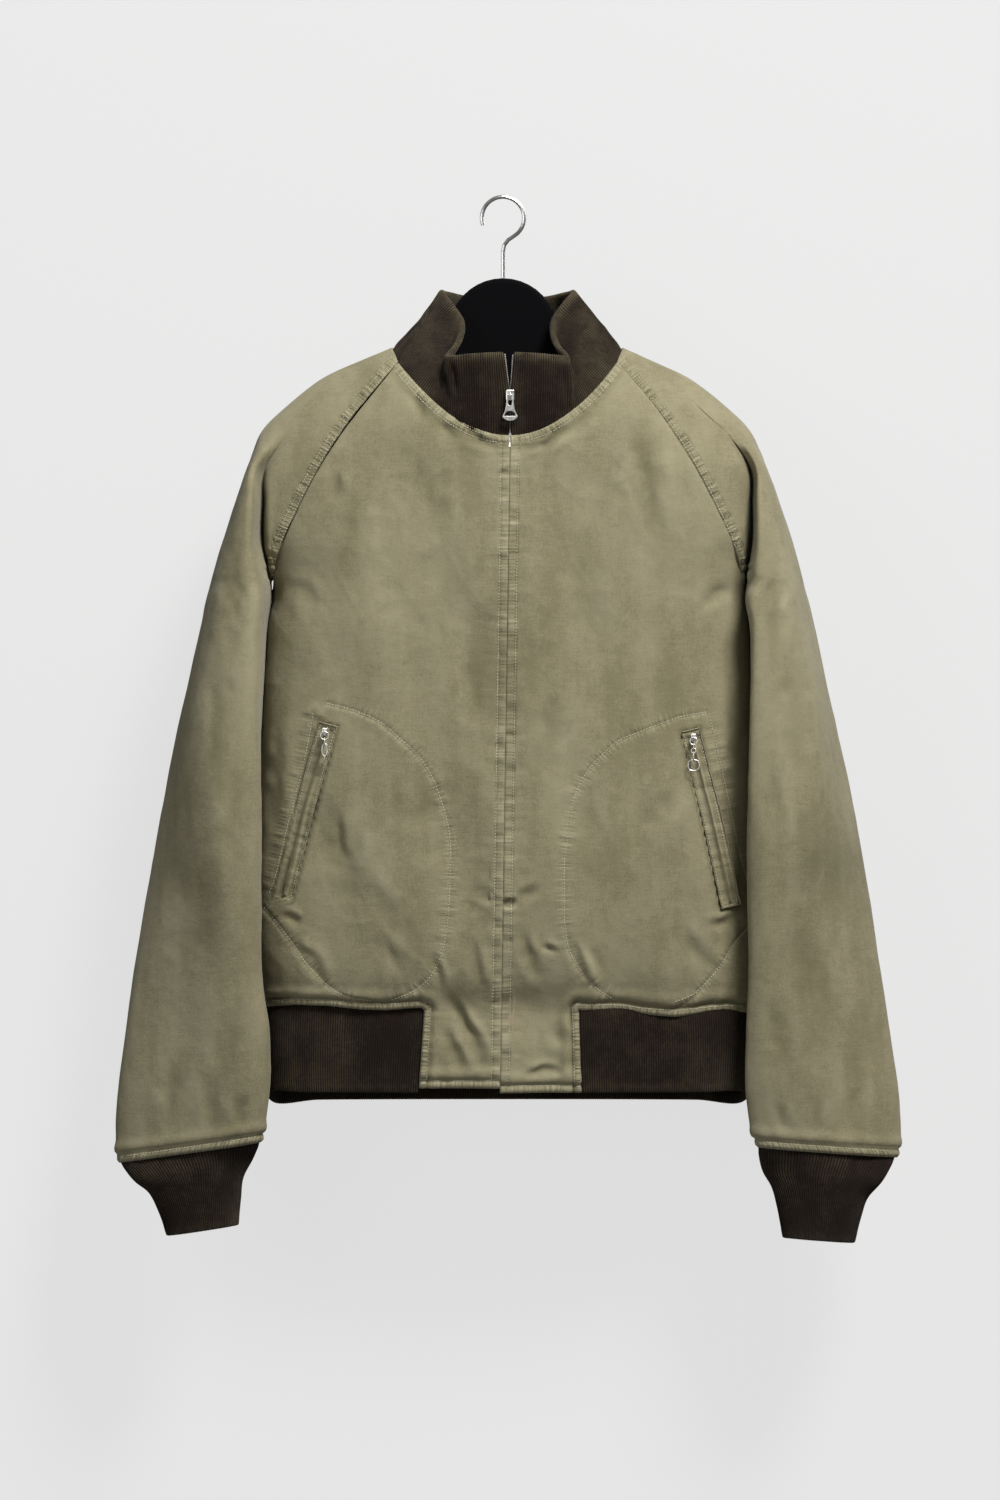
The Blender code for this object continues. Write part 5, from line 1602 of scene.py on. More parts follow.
def pucker_group():
    """Ridges across a topstitched seam, from the mask of its strip and the distance along it in mm."""
    tree, inside, outside = group_of(
        "seam_puckers", {"Seam": ("NodeSocketFloat", 0.0), "Along": ("NodeSocketFloat", 0.0)},
        {"Height": "NodeSocketFloat"},
    )
    ridges = node(tree, "ShaderNodeTexNoise", noise_dimensions="1D")
    tree.links.new(inside.outputs["Along"], ridges.inputs["W"])
    ridges.inputs["Scale"].default_value = 2.0 / PUCKER_PITCH
    ridges.inputs["Detail"].default_value = 1.5
    centred = ramp(tree, ridges.outputs[0], 0.3, 0.7)
    height = math_node(tree, "MULTIPLY", math_node(tree, "SUBTRACT", centred, 0.5), inside.outputs["Seam"])
    tree.links.new(height, outside.inputs["Height"])
    return tree


def dyed(tree, rub_and_painted_light, place, cloth, wear_and_painted_light, deep, clouds):
    """The output of an uneven dye between these colours, with the painted shade and light that the rubbing
    input carries.
    """
    dye = group_node(tree, "uneven_dye_and_painted_light", dye_and_painted_light_group)
    for name, value in (("Cloth", cloth), ("Worn", wear_and_painted_light), ("Deep", deep), ("Clouds", clouds)):
        dye.inputs[name].default_value = value
    tree.links.new(rub_and_painted_light, dye.inputs["Rubbing_and_painted_light"])
    tree.links.new(place, dye.inputs["Place"])
    return dye.outputs[0]


def cotton_finish():
    made, tree, shader = shader_of("olive_cotton", 0.92, sheen=0.12, specular=0.25)
    cut = node(tree, "ShaderNodeUVMap", uv_map="cut").outputs[0]
    wear_and_painted_light, seam, along = (
        node(tree, "ShaderNodeAttribute", attribute_name=name).outputs["Fac"] for name in CLOTH_MARKS
    )
    puckers = group_node(tree, "seam_puckers", pucker_group)
    tree.links.new(seam, puckers.inputs["Seam"])
    tree.links.new(along, puckers.inputs["Along"])
    # The puckers' height is painted into the colour too: paler on their ridges from wear, darker in their
    # dips as painted shade.
    rub_and_painted_light = math_node(tree, "MULTIPLY_ADD", puckers.outputs[0], 1.3, wear_and_painted_light)
    place = place_in(tree)
    cloth, rubbed, deep = settings().cloth_colour, settings().worn_colour, settings().deep_colour
    colour = dyed(tree, rub_and_painted_light, place, rgba(cloth), rgba(rubbed), rgba(deep), COTTON_CLOUDS)
    tree.links.new(colour, shader.inputs["Base Color"])
    twill = group_node(tree, "twill_weave", twill_group)
    tree.links.new(cut, twill.inputs["Cut"])
    crumple = noise_node(tree, place, 160.0, 5.0, 0.6)
    height = math_node(tree, "MULTIPLY_ADD", crumple, 2.6, twill.outputs[0])
    height = math_node(tree, "MULTIPLY_ADD", puckers.outputs[0], 4.0, height)
    bumped(tree, shader, height, 0.45, 0.0004)
    return made


def knit_finish():
    """Rib knit: small V stitches down each rib, darker between the ribs as painted shade, and paler where it
    is rubbed and where the collar's wings get painted light.
    """
    made, tree, shader = shader_of("brown_knit", 0.95, sheen=0.16, specular=0.12)
    cut = node(tree, "ShaderNodeUVMap", uv_map="cut").outputs[0]
    rub_and_painted_light = node(tree, "ShaderNodeAttribute", attribute_name="wear_and_painted_light").outputs["Fac"]
    place = place_in(tree)
    parts = node(tree, "ShaderNodeSeparateXYZ", [(0, cut)])
    ribs = math_node(tree, "MULTIPLY", parts.outputs[0], math.tau / settings().rib_pitch)
    rib = math_node(tree, "COSINE", ribs)
    slant = math_node(tree, "ABSOLUTE", math_node(tree, "SINE", math_node(tree, "MULTIPLY", ribs, 0.5)))
    down = math_node(tree, "MULTIPLY", parts.outputs[1], 5200.0)
    course = math_node(tree, "MULTIPLY_ADD", slant, 2.2, down)
    loop = math_node(tree, "SINE", course)
    fuzz = noise_node(tree, place, 900.0, 3.0, 0.7)
    knit, rim = settings().knit_colour, settings().knit_rim_colour
    colour = dyed(tree, rub_and_painted_light, place, rgba(knit), rgba(rim), rgba(knit, 0.85), KNIT_CLOUDS)
    # Painted shade between the ribs: darker where the rib's curve is low.
    hollow = mixed(tree, ramp(tree, rib, -1.2, 0.4), rgba(knit, 0.4), colour)
    tree.links.new(hollow, shader.inputs["Base Color"])
    height = math_node(tree, "MULTIPLY_ADD", rib, 0.3, math_node(tree, "MULTIPLY", loop, 0.15))
    bumped(tree, shader, math_node(tree, "MULTIPLY_ADD", fuzz, 0.6, height), 0.4, 0.0004)
    return made


def thread_finish():
    made, tree, shader = shader_of("olive_thread", 0.7, sheen=0.1)
    place = place_in(tree)
    patchy = noise_node(tree, place, 60.0, 3.0, 0.6)
    thread = settings().thread_colour
    colour = mixed(tree, ramp(tree, patchy, 0.35, 0.65), rgba(thread, 0.62), rgba(thread))
    tree.links.new(colour, shader.inputs["Base Color"])
    return made


def tape_finish():
    made, tree, shader = shader_of("beige_tape", 0.9, sheen=0.1)
    place = place_in(tree)
    parts = node(tree, "ShaderNodeSeparateXYZ", [(0, place)])
    rows = math_node(tree, "SINE", math_node(tree, "MULTIPLY", parts.outputs[2], 7500.0))
    columns = math_node(tree, "SINE", math_node(tree, "MULTIPLY", parts.outputs[0], 9000.0))
    weave = math_node(tree, "MULTIPLY", rows, columns)
    tape = settings().tape_colour
    colour = mixed(tree, ramp(tree, weave, -1.0, 1.0), rgba(tape, 0.7), rgba(tape))
    tree.links.new(colour, shader.inputs["Base Color"])
    bumped(tree, shader, weave, 0.4, 0.0002)
    return made


def metal_finish(name, colour, roughness, scale):
    made, tree, shader = shader_of(name, roughness, metallic=1.0)
    place = place_in(tree)
    dull = noise_node(tree, place, scale, 4.0, 0.6)
    patchy = mixed(tree, ramp(tree, dull, 0.35, 0.62), rgba(colour, 0.72), rgba(colour))
    tree.links.new(patchy, shader.inputs["Base Color"])
    rough = node(tree, "ShaderNodeMapRange", [(0, dull)])
    rough.inputs[3].default_value = roughness * 0.7
    rough.inputs[4].default_value = roughness * 1.5
    tree.links.new(rough.outputs[0], shader.inputs["Roughness"])
    return made


def hanger_finish():
    made, tree, shader = shader_of("black_hanger", 0.9, sheen=0.01, specular=0.06)
    place = place_in(tree)
    flock = noise_node(tree, place, 1800.0, 3.0, 0.7)
    black = settings().hanger_colour
    colour = mixed(tree, ramp(tree, flock, 0.3, 0.7), rgba(black, 0.7), rgba(black, 1.4))
    tree.links.new(colour, shader.inputs["Base Color"])
    bumped(tree, shader, flock, 0.3, 0.0002)
    return made


FINISHES = {
    "cotton": cotton_finish,
    "knit": knit_finish,
    "thread": thread_finish,
    "tape": tape_finish,
    "nickel": lambda: metal_finish("nickel", settings().nickel_colour, 0.36, 300.0),
    "steel": lambda: metal_finish("steel_wire", (0.62, 0.61, 0.6), 0.28, 200.0),
    "hanger": hanger_finish,
}
_made = {}


def finish(name):
    if name not in _made:
        _made[name] = FINISHES[name]()
    return _made[name]


# Pieces ---------------------------------------------------------------------------------------------------


SIDES = ((-1, "left"), (1, "right"))
_surfaces = {}  # search trees of the pieces' outer faces, for the stitching


def sunk_edge(relief, away, to=-0.5, reach=6.0):
    """Brings the relief to one level at an edge that another piece continues."""
    share = 1 - soft(away / reach)
    return relief * (1 - share) + to * share


def joined(base, moved):
    """Where a row's two ends coincide, they and the points on them go to one place."""
    for row in np.flatnonzero(np.linalg.norm(base[:, 0] - base[:, -1], axis=1) < 1e-3):
        same = np.linalg.norm(base[row] - base[row, 0], axis=1) < 1e-3
        moved[row, same] = (moved[row, 0] + moved[row, -1]) / 2
    return moved


def fine_grid(rows, step, fine_across=(), fine_down=()):
    points = as_grid(rows)
    down = split(points, step, fine_down)
    across = split(points.swapaxes(0, 1), step, fine_across)
    return refined(points, down, across)


def moved_out(base, relief, sign):
    moved = base + grid_normals(base, sign) * relief[:, :, None]
    return joined(base, moved)


def parted(points, side):
    """The front edges meet, and stand a little apart below the neck, where the teeth show."""
    z = points[:, :, 2]
    to_zip = np.abs(points[:, :, 0] - zip_x(z))
    gap = ZIP_GAP * hump(z, ZIP_GAP_Z, 7) - 0.15
    points[:, :, 0] += side * gap * fall(to_zip, 6)
    return points


def cotton_piece(node_name, grid, **shape):
    """A cotton panel that replaces a node of the frame, with its outer face kept for the stitching."""
    made = cloth_mesh(f"{node_name}_cloth", grid, **shape)
    finished(made, "cotton")
    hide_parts(node_name)
    _surfaces[node_name] = surface_of(grid[0])


def cloth_grid(points, relief, wear_and_painted_light, seam, along, sign):
    """(displaced points, u, v, wear with painted shade, seam, along) for cloth_mesh."""
    moved = moved_out(points, relief, sign)
    return moved, lengths_across(points), points[:, :, 2], np.clip(wear_and_painted_light, -1, 1), seam, along


def front_grid(side):
    """The panel's rows, carried on below the hem seam. Only the tab's first columns have cloth there."""
    rows = front_rows(side)
    for row in tab_rows(side):
        beyond = [Vector((point.x, point.y, row[0].z)) for point in rows[LAST_PANEL_ROW][TAB_COLUMNS:]]
        rows.append(row + beyond)
    return rows


def build_front(side, word):
    rows = as_grid(front_grid(side))
    down = split(rows, CLOTH_STEP, {i: TAB_STEP for i in range(LAST_PANEL_ROW, len(rows) - 1)})
    across = split(rows.swapaxes(0, 1), CLOTH_STEP, {0: FINE_STEP})
    base = refined(rows, down, across)
    x, y, z = np.moveaxis(base, 2, 0)
    relief, *marks = front_relief(side, x, z)
    relief = np.where(z < ARMPIT_Z, sunk_edge(relief, np.abs(y)), relief)
    points, *marks = cloth_grid(base, relief, *marks, -side)
    points[:, :, 2] += hem_rise(x, y, z) * (across > TAB_COLUMNS - 1)[None, :]
    points = parted(points, side)
    above = down[:-1] < LAST_PANEL_ROW
    kept = above[:, None] | (across[:-1] < TAB_COLUMNS - 1)[None, :]
    cotton_piece(f"front_{word}", (points, *marks), sign=-side, kept=kept)


def build_back():
    points = fine_grid(back_rows(), BACK_STEP)
    x, y, z = np.moveaxis(points, 2, 0)
    relief, *marks = back_relief(x, z)
    relief = np.where(z < ARMPIT_Z, sunk_edge(relief, np.abs(y)), relief)
    points, *marks = cloth_grid(points, relief, *marks, 1)
    points[:, :, 2] += hem_rise(x, y, z)
    cotton_piece("back", (points, *marks))


def sleeve_grid(side):
    """The sleeve's rows. Its inner side lies against the body as far as the forearm, and against the rib."""
    caps = [neck_row(side)] + [cap_row(side, row) for row in CAP_ROWS[1:]]
    lead = sum(CAP_SPANS[:2])
    tubes = []
    for z in TUBE_ROWS:
        row = tube_row(side, z)
        inner, rest = read(BODY, "wide", z) + SLEEVE_TO_BODY, min(abs(point.x) for point in row)
        press = max(rest - inner, 0.0) * (1 - fade(z, *LEAVES_BODY))
        by_rib = fade(z, *MEETS_RIB) * (1 - fade(z, *LEAVES_RIB))
        press += max(rest - RIB_HALF_WIDTH, 0.0) * by_rib
        middle = (abs(row[sum(CAP_SPANS[2:])].x) + rest) / 2
        for point in row:
            share = max(0.0, (middle - abs(point.x)) / (middle - rest))
            point.x -= side * press * share
        tubes.append([row[0]] * lead + row + [row[-1]] * lead)
    return caps + [armpit_row(side)] + tubes


def build_sleeve(side, word):
    last = 2 * sum(CAP_SPANS) - 1
    fine_down = {cell: CAP_STEP for cell in range(len(CAP_ROWS))}
    fine_across = dict(zip((0, 1, last - 1, last), SLEEVE_EDGE_STEPS))
    points = fine_grid(sleeve_grid(side), SLEEVE_STEP, fine_across, fine_down)
    x, y, z = np.moveaxis(points, 2, 0)
    relief, *marks = sleeve_relief(side, x, y, z, lengths_across(points))
    grid = cloth_grid(points, relief + CLOTH, *marks, -side)
    cotton_piece(f"sleeve_{word}", grid, sign=-side)


def even_columns(points, pitch):
    """Fractional column numbers at even distances, with whole ribs in all, and each one's rib number."""
    places = knots(points.swapaxes(0, 1))
    count = int(round(places[-1] / pitch)) * COLUMNS_PER_RIB
    at = np.interp(np.linspace(0, places[-1], count + 1), places, np.arange(len(places)))
    return at, np.arange(count + 1) / COLUMNS_PER_RIB


def end_rounding(base):
    """How much of the knit's thickness is left at each point: its two open ends are rounded."""
    along = lengths_across(base)
    to_end = np.minimum(along, along[:, -1:] - along)
    return np.sqrt(np.clip(1 - np.clip(1 - to_end / END_RADIUS, 0, 1) ** 2, 0.02, 1))


def fold_rows(outer, inner, ahead):
    """Rows round the fold, from the last row of the outer face to that of the inner one."""
    centre, half = (outer + inner) / 2, (outer - inner) / 2
    ahead = ahead / np.linalg.norm(ahead, axis=1, keepdims=True)
    reach = np.linalg.norm(half, axis=1, keepdims=True)
    turns = np.linspace(0, math.pi, FOLD_STEPS + 2)[1:-1]
    return np.array([centre + half * math.cos(turn) + ahead * reach * math.sin(turn) for turn in turns])


def knit_mesh(name, rows, sign, step, thickness, relief_of, open_ends):
    """A doubled knit: the outer face down to its fold, round the fold, and up inside."""
    points = as_grid(rows)
    pitch = settings().rib_pitch / MM
    at, ribs = even_columns(points, pitch)
    base = refined(points, split(points, step), at)
    normals = grid_normals(base, sign)
    rounding = np.ones(base.shape[:2])
    if open_ends:
        rounding = end_rounding(base)
    else:
        ends = normals[:, 0] + normals[:, -1]
        normals[:, 0] = normals[:, -1] = ends / np.linalg.norm(ends, axis=1, keepdims=True)
    down = lengths_across(base.swapaxes(0, 1)).swapaxes(0, 1)
    to_fold = down[-1] - down
    swell = RIM_SWELL * hump(to_fold, 0, 7)
    out, wear_and_painted_light = relief_of(base, to_fold)
    rib_wave = 0.5 * (np.cos(math.tau * ribs) - 1) * RIB_DEPTH
    out = out - SEAM_TUCK * hump(down, 0, 4)
    middle = out - thickness / 2
    faces = []
    for level in (out + swell + rib_wave, out - thickness - swell - rib_wave * INNER_RIB):
        faces.append(base + normals * (middle + (level - middle) * rounding)[:, :, None])
    outer, inner = faces
    thinned = inner[::-1][::2] if len(inner) % 2 else inner[::-1]
    whole = np.concatenate([outer, fold_rows(outer[-1], inner[-1], base[-1] - base[-2]), thinned])
    beyond = len(whole) - len(outer)
    away = base[0] - base[1]
    away /= np.linalg.norm(away, axis=1, keepdims=True)
    lift = np.concatenate([hump(down, 0, 3.0), np.zeros((beyond, base.shape[1]))])
    whole += away[None] * lift[:, :, None] * SEAM_LIFT
    v = lengths_across(whole.swapaxes(0, 1)).swapaxes(0, 1)
    u = np.broadcast_to(ribs * pitch, v.shape)
    wear_and_painted_light = np.concatenate([wear_and_painted_light, np.repeat(wear_and_painted_light[-1:], beyond, axis=0)])
    wear_and_painted_light[-len(thinned) :] *= fall(np.arange(len(thinned)), 2)[:, None]
    x, y, z = np.moveaxis(whole, 2, 0)
    whole[:, :, 2] += hem_rise(x, y, z) if name == "hem_rib_knit" else 0
    made = cloth_mesh(name, (whole, u, v, np.clip(wear_and_painted_light, 0, 1)), thickness=0, sign=sign)
    finished(made, "knit")
    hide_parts(name.removesuffix("_knit"))


def collar_relief(base, to_fold):
    x, y, z = np.moveaxis(base, 2, 0)
    relief = np.where(y < 20, crease_relief(x, z, COLLAR_CREASES), 0.0)
    seed = SEEDS["collar"]
    relief += 0.9 * noise(x / 40 + 3, z / 34, seed) + 0.3 * noise(x / 17, z / 15, seed + 1)
    relief *= 1 - np.exp(-(((x - ZIP_TOP_X) / 14) ** 4)) * (y < 0)
    # Painted light: the collar's wings are made paler, as if more lit; the fold's rim is paler from wear.
    wing_light = soft((np.abs(x) - 54) / 16)
    wear_and_painted_light = 0.9 * hump(to_fold, 0, 4.5) + (0.32 + 0.15 * noise(x / 22, z / 30, seed + 2)) * wing_light
    return relief, wear_and_painted_light


def rib_relief(base, to_fold):
    x, _, z = np.moveaxis(base, 2, 0)
    seed = SEEDS["rib"]
    relief = 1.2 * noise(x / 46 + 7, z / 60, seed) + 0.4 * noise(x / 18, z / 40 + 5, seed + 1)
    relief += 0.5 * hump(to_fold, 9, 4)
    wear_and_painted_light = 0.30 * hump(to_fold, 3, 4) + 0.05 * (1 + noise(x / 20, z / 25, seed + 2))
    return relief, wear_and_painted_light


def cuff_relief(side):
    def relief_of(base, to_fold):
        x, _, z = np.moveaxis(base, 2, 0)
        seed = SEEDS["cuff"]
        relief = 1.1 * noise(x / 26 + 3 * side, z / 50, seed) + 0.5 * noise(x / 11, z / 30 + side, seed + 1)
        wear_and_painted_light = 0.25 * hump(to_fold, 0, 4) + 0.05 * (1 + noise(x / 15, z / 25, seed + 2))
        return relief, wear_and_painted_light

    return relief_of


def pocket_patch(side):
    """Points of a pocket's welts on the front's own face, and each one's place along and across it."""
    top, run, drop, length = pocket_axis(side)
    along = np.concatenate([np.arange(0, length, WELT_STEP), [length]])
    across = np.linspace(-WELT_WIDTH / 2, WELT_WIDTH / 2, WELT_COLUMNS)
    s, off = np.meshgrid(along, across, indexing="ij")
    bend = np.sin(np.pi * s / length) * side
    x = top[0] + run * s - drop * (off + bend)
    z = top[1] + drop * s + run * (off + bend)
    y = np.vectorize(lambda a, b: depth(a, b, -1))(x, z)
    return np.stack([x, y, z], axis=2), s, off, length


def build_welts(side, word):
    points, s, off, length = pocket_patch(side)
    broad = broad_relief(points[:, :, 0], points[:, :, 2])
    to_end = np.minimum(s, length - s)
    in_slit = soft((to_end - WELT_END + 0.6) / 1.2)
    opening = 0.35 + soft((s / length - 0.5) / 0.3) * soft((1 - s / length) / 0.1)
    opening *= SLIT_OPEN[side]
    from_lip = np.clip(np.abs(off) - opening, 0, None)
    lip = LIP_HEIGHT * (1 - fall(from_lip, 0.8)) - SLIT_DEPTH
    lip += 0.6 * hump(np.abs(off), 3.0, 1.6)
    flat = np.full_like(off, WELT_HEIGHT) + 0.25 * ripple(off + 50, 6.0, SEEDS["welt_end"])
    height = lip * in_slit + flat * (1 - in_slit)
    puckers = 0.7 * ripple(s, 9.0, SEEDS["welt"] + side) + 0.35 * ripple(s, 5.0, SEEDS["fine_welt"] + side)
    puckers *= settings().pucker
    height += puckers * band(np.abs(off), 1.5, WELT_WIDTH / 2, 2.0)
    edge = np.minimum(WELT_WIDTH / 2 - np.abs(off), to_end)
    height += edge_roll(edge, 1.5, 1.6) + row_groove(edge, 1.9, 0.3, 0.7)
    height += -0.5 * hump(to_end, WELT_END, 0.7)
    # Paler welt edges and lips from wear, paler pucker ridges from wear, and painted shade in the pucker
    # dips and at the bottom of the slit.
    wear_and_painted_light = 0.4 * fall(edge, 2.0) + 0.4 * hump(from_lip, 1.2, 1) * in_slit + 0.5 * puckers
    wear_and_painted_light -= 1.0 * hump(from_lip, 0, 0.5) * in_slit
    moved = points + grid_normals(points, 1) * (broad + height)[:, :, None]
    cotton_piece(f"pocket_welt_{word}", (moved, off, s, np.clip(wear_and_painted_light, -1, 1)), thickness=0.7)
    build_pocket_zip(side, word)


def build_pocket_zip(side, word):
    """The pocket zip at the bottom of its slit: its tape, and the closed teeth along the middle."""
    top, run, drop, length = pocket_axis(side)

    def in_slit(s, off, behind):
        x, z = top[0] + run * s - drop * off, top[1] + drop * s + run * off
        return x, depth(x, z, -1) - float(broad_relief(np.array(x), np.array(z))) + behind, z

    verts, faces = [], []
    for k, s in enumerate(np.arange(WELT_END, length - WELT_END, POCKET_TOOTH_PITCH)):
        centre = in_slit(s, math.sin(math.pi * s / length) * side, POCKET_TEETH_DEEP)
        shift = POCKET_TOOTH_SHIFT * (-1) ** k
        add_box(verts, faces, centre, (run, 0, drop), (-drop, 0, run), POCKET_TOOTH_HALF, shift)
    teeth_piece(f"pocket_teeth_{word}", verts, faces)
    places = np.linspace(WELT_END + 0.5, length - WELT_END - 0.5, 40)
    points = np.array([[in_slit(s, off, POCKET_TAPE_DEEP) for off in POCKET_TAPE_COLUMNS] for s in places])
    u, v = np.broadcast_to(POCKET_TAPE_COLUMNS, points.shape[:2]), points[:, :, 2]
    tape = cloth_mesh(f"pocket_zip_{word}_tape", (points, u, v, np.zeros_like(v)), thickness=0.6)
    finished(tape, "tape")
    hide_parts(f"pocket_zip_{word}")


def add_box(verts, faces, centre, along, across, half, shift=0.0):
    """A small block: half is its size along, out and across, in mm; its top is a little narrower."""
    along, across = Vector(along), Vector(across)
    out = along.cross(across).normalized()
    centre = Vector(centre) + across * shift + Vector((CENTRE_X, 0, 0))
    start = len(verts)
    for level, narrow in ((-1, 1.0), (1, 0.72)):
        for a, b in ((-1, -1), (1, -1), (1, 1), (-1, 1)):
            beside = (along * a * half[0] + across * b * half[2]) * narrow
            verts.append(tuple((centre + beside + out * level * half[1]) * MM))
    quads = ((3, 2, 1, 0), (4, 5, 6, 7), (0, 1, 5, 4), (1, 2, 6, 5), (2, 3, 7, 6), (3, 0, 4, 7))
    faces += [tuple(start + i for i in quad) for quad in quads]


def tape_lift(z):
    """How far the fronts' folds carry the zip with them, below the collar."""
    return broad_relief(zip_x(z), z) * soft((NECK_FRONT_Z - z) / 12)


def build_front_zip():
    for side, word in SIDES:
        rows = as_grid(tape_rows(side))
        points = refined(rows, split(rows, TAPE_STEP), np.linspace(0, 1, TAPE_COLUMNS))
        points[:, :, 1] -= tape_lift(points[:, :1, 2])
        u, v = lengths_across(points), points[:, :, 2]
        grid = (points, u, v, np.zeros_like(v))
        made = cloth_mesh(f"zip_tape_{word}_cloth", grid, thickness=TAPE, sign=-side)
        finished(made, "tape")
        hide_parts(f"zip_tape_{word}")
        line = resampled(rows[:, 0], TOOTH_PITCH)
        line[:, 1] -= tape_lift(line[:, 2])
        verts, faces = [], []
        for k, spot in enumerate(line[line[:, 2] > ZIP_SHOWS]):
            ahead = line[min(k + 1, len(line) - 1)] - line[max(k - 1, 0)]
            along = Vector(ahead).normalized()
            inside = spot[2] < SLIDER_Z
            across = Vector((0, -1, 0)).cross(along).normalized() * -1
            middle = Vector(spot) + Vector((side * (0.1 if inside else 0.9), -0.9, 0))
            if side > 0:
                middle += along * TOOTH_PITCH / 2
            add_box(verts, faces, middle, along, across, (0.6, 0.8, 1.25 if inside else 1.0))
        teeth_piece(f"zip_teeth_{word}", verts, faces)


# Stitch lines ---------------------------------------------------------------------------------------------


def offset_line(line, by):
    """A line of (x, z) moved sideways: to its left for a positive distance."""
    line = np.array(line, float)
    steps = np.gradient(line, axis=0)
    steps /= np.linalg.norm(steps, axis=1, keepdims=True)
    return line + np.stack([-steps[:, 1], steps[:, 0]], axis=1) * by


def hem_stitch_line(side):
    """Along the hem's strip, down the tab and along its end."""
    outer = side * read(BODY, "fold", HEM_SEAM_Z)
    corner = (TAB_X[side][0] - side * STRIP * 0.9, HEM_SEAM_Z + HEM_ROW)
    end_z = TAB_END_Z[side] + STRIP
    low = (TAB_X[side][1] - side * STRIP, end_z)
    line = [(outer - side * 4, HEM_SEAM_Z + HEM_ROW)]
    line += [(mix(outer, corner[0], i / 9), HEM_SEAM_Z + HEM_ROW) for i in range(1, 9)]
    line += [corner, low, (zip_x(end_z) + side * ZIP_ROW, end_z)]
    return line


def with_hem_wave(line):
    line = np.array(line, float)
    y = np.full(len(line), -60.0)
    line[:, 1] += hem_rise(line[:, 0], y, line[:, 1])
    return line


def build_stitching():
    for side, word in SIDES:
        front, sleeve = _surfaces[f"front_{word}"], _surfaces[f"sleeve_{word}"]
        zs = np.linspace(NECK_FRONT_Z - 6, TAB_END_Z[side] + STRIP, 60)
        lines = [[(zip_x(z) + side * (ZIP_ROW + 0.3), z) for z in zs]]
        neck = smooth_line(neck_places(side, np.linspace(0.04, 0.49, 9)))
        lines += [offset_line(neck, by * side) for by in (-SEAM_ROWS[0], -SEAM_ROWS[1])]
        lines += [smooth_line(BAG_LINES[side]), smooth_line(BAG_LOWER_LINES[side])]
        lines += [smooth_line(POCKET_OUTER_LINES[side])]
        lines += [with_hem_wave(resampled(hem_stitch_line(side), 3.0))]
        stitches(f"front_stitching_{word}", front, lines)
        front_seam = smooth_line(raglan_line(side, -1)[:-1])
        lines = [offset_line(front_seam, by * side) for by in SEAM_ROWS]
        tip, tail = cuff_span(side)
        xs = np.linspace(tip + 4, tail - 4, 14)
        cuff = [(side * x, float(cuff_line_z(side, np.array(side * x))) + STRIP * 0.85) for x in xs]
        lines += [cuff]
        stitches(f"sleeve_stitching_{word}", sleeve, lines)
        back_seam = smooth_line(raglan_line(side, 1)[:-1])
        lines = [offset_line(back_seam, by * side) for by in SEAM_ROWS] + [cuff]
        stitches(f"sleeve_back_stitching_{word}", sleeve, lines, 1)
        stitches(f"welt_stitching_{word}", _surfaces[f"pocket_welt_{word}"], welt_lines(side))
    left, right = (neck_places(side, np.linspace(0.74, 1, 7)) for side in (-1, 1))
    neck = smooth_line(left + right[-2::-1])
    hem = [(x, HEM_SEAM_Z + HEM_ROW) for x in np.linspace(-205, 205, 30)]
    lines = [offset_line(neck, -by) for by in SEAM_ROWS] + [hem]
    stitches("back_stitching", _surfaces["back"], lines, 1)


def welt_lines(side):
    """Stitching round a welt: a bent row along each side, and a straight one across each end."""
    top, run, drop, length = pocket_axis(side)

    def spot(s, off):
        return top[0] + run * s - drop * off, top[1] + drop * s + run * off

    far = WELT_WIDTH / 2 - WELT_ROW
    ends = (WELT_END_ROW, length - WELT_END_ROW)
    bent = [(s, math.sin(math.pi * s / length) * side) for s in np.linspace(*ends, 30)]
    along = [[spot(s, bend + off) for s, bend in bent] for off in (-far, far)]
    return along + [[spot(s, off) for off in (-WELT_END_REACH, WELT_END_REACH)] for s in ends]


# Stage ----------------------------------------------------------------------------------------------------


def area_light(name, location, target, size, power, colour):
    light = bpy.data.lights.new(name, "AREA")
    light.shape = "DISK"
    light.size = size
    light.energy = power
    light.color = colour
    obj = linked(name, light)
    obj.location = location
    obj.rotation_euler = (Vector(target) - obj.location).to_track_quat("-Z", "Y").to_euler()


def sheet_of(name, corners, finish_made):
    mesh = bpy.data.meshes.new(name)
    mesh.from_pydata(corners, [], [(0, 1, 2, 3)])
    mesh.materials.append(finish_made)
    obj = linked(name, mesh)
    return obj


def wall_finish(name, colour, one_sided):
    made, tree, shader = shader_of(name, 0.95, specular=0.1)
    place = place_in(tree)
    patchy = noise_node(tree, place, 1.5, 2.0, 0.5)
    tree.links.new(mixed(tree, patchy, rgba(colour, 0.985), rgba(colour)), shader.inputs["Base Color"])
    shader.inputs["Emission Color"].default_value = (1, 1, 1, 1)
    shader.inputs["Emission Strength"].default_value = WALL_GLOW if one_sided else 0.0
    if one_sided:
        behind = node(tree, "ShaderNodeNewGeometry").outputs["Backfacing"]
        clear = node(tree, "ShaderNodeBsdfTransparent")
        blend = node(tree, "ShaderNodeMixShader")
        output = tree.nodes["Material Output"]
        tree.links.new(behind, blend.inputs[0])
        tree.links.new(shader.outputs[0], blend.inputs[1])
        tree.links.new(clear.outputs[0], blend.inputs[2])
        tree.links.new(blend.outputs[0], output.inputs["Surface"])
    return made


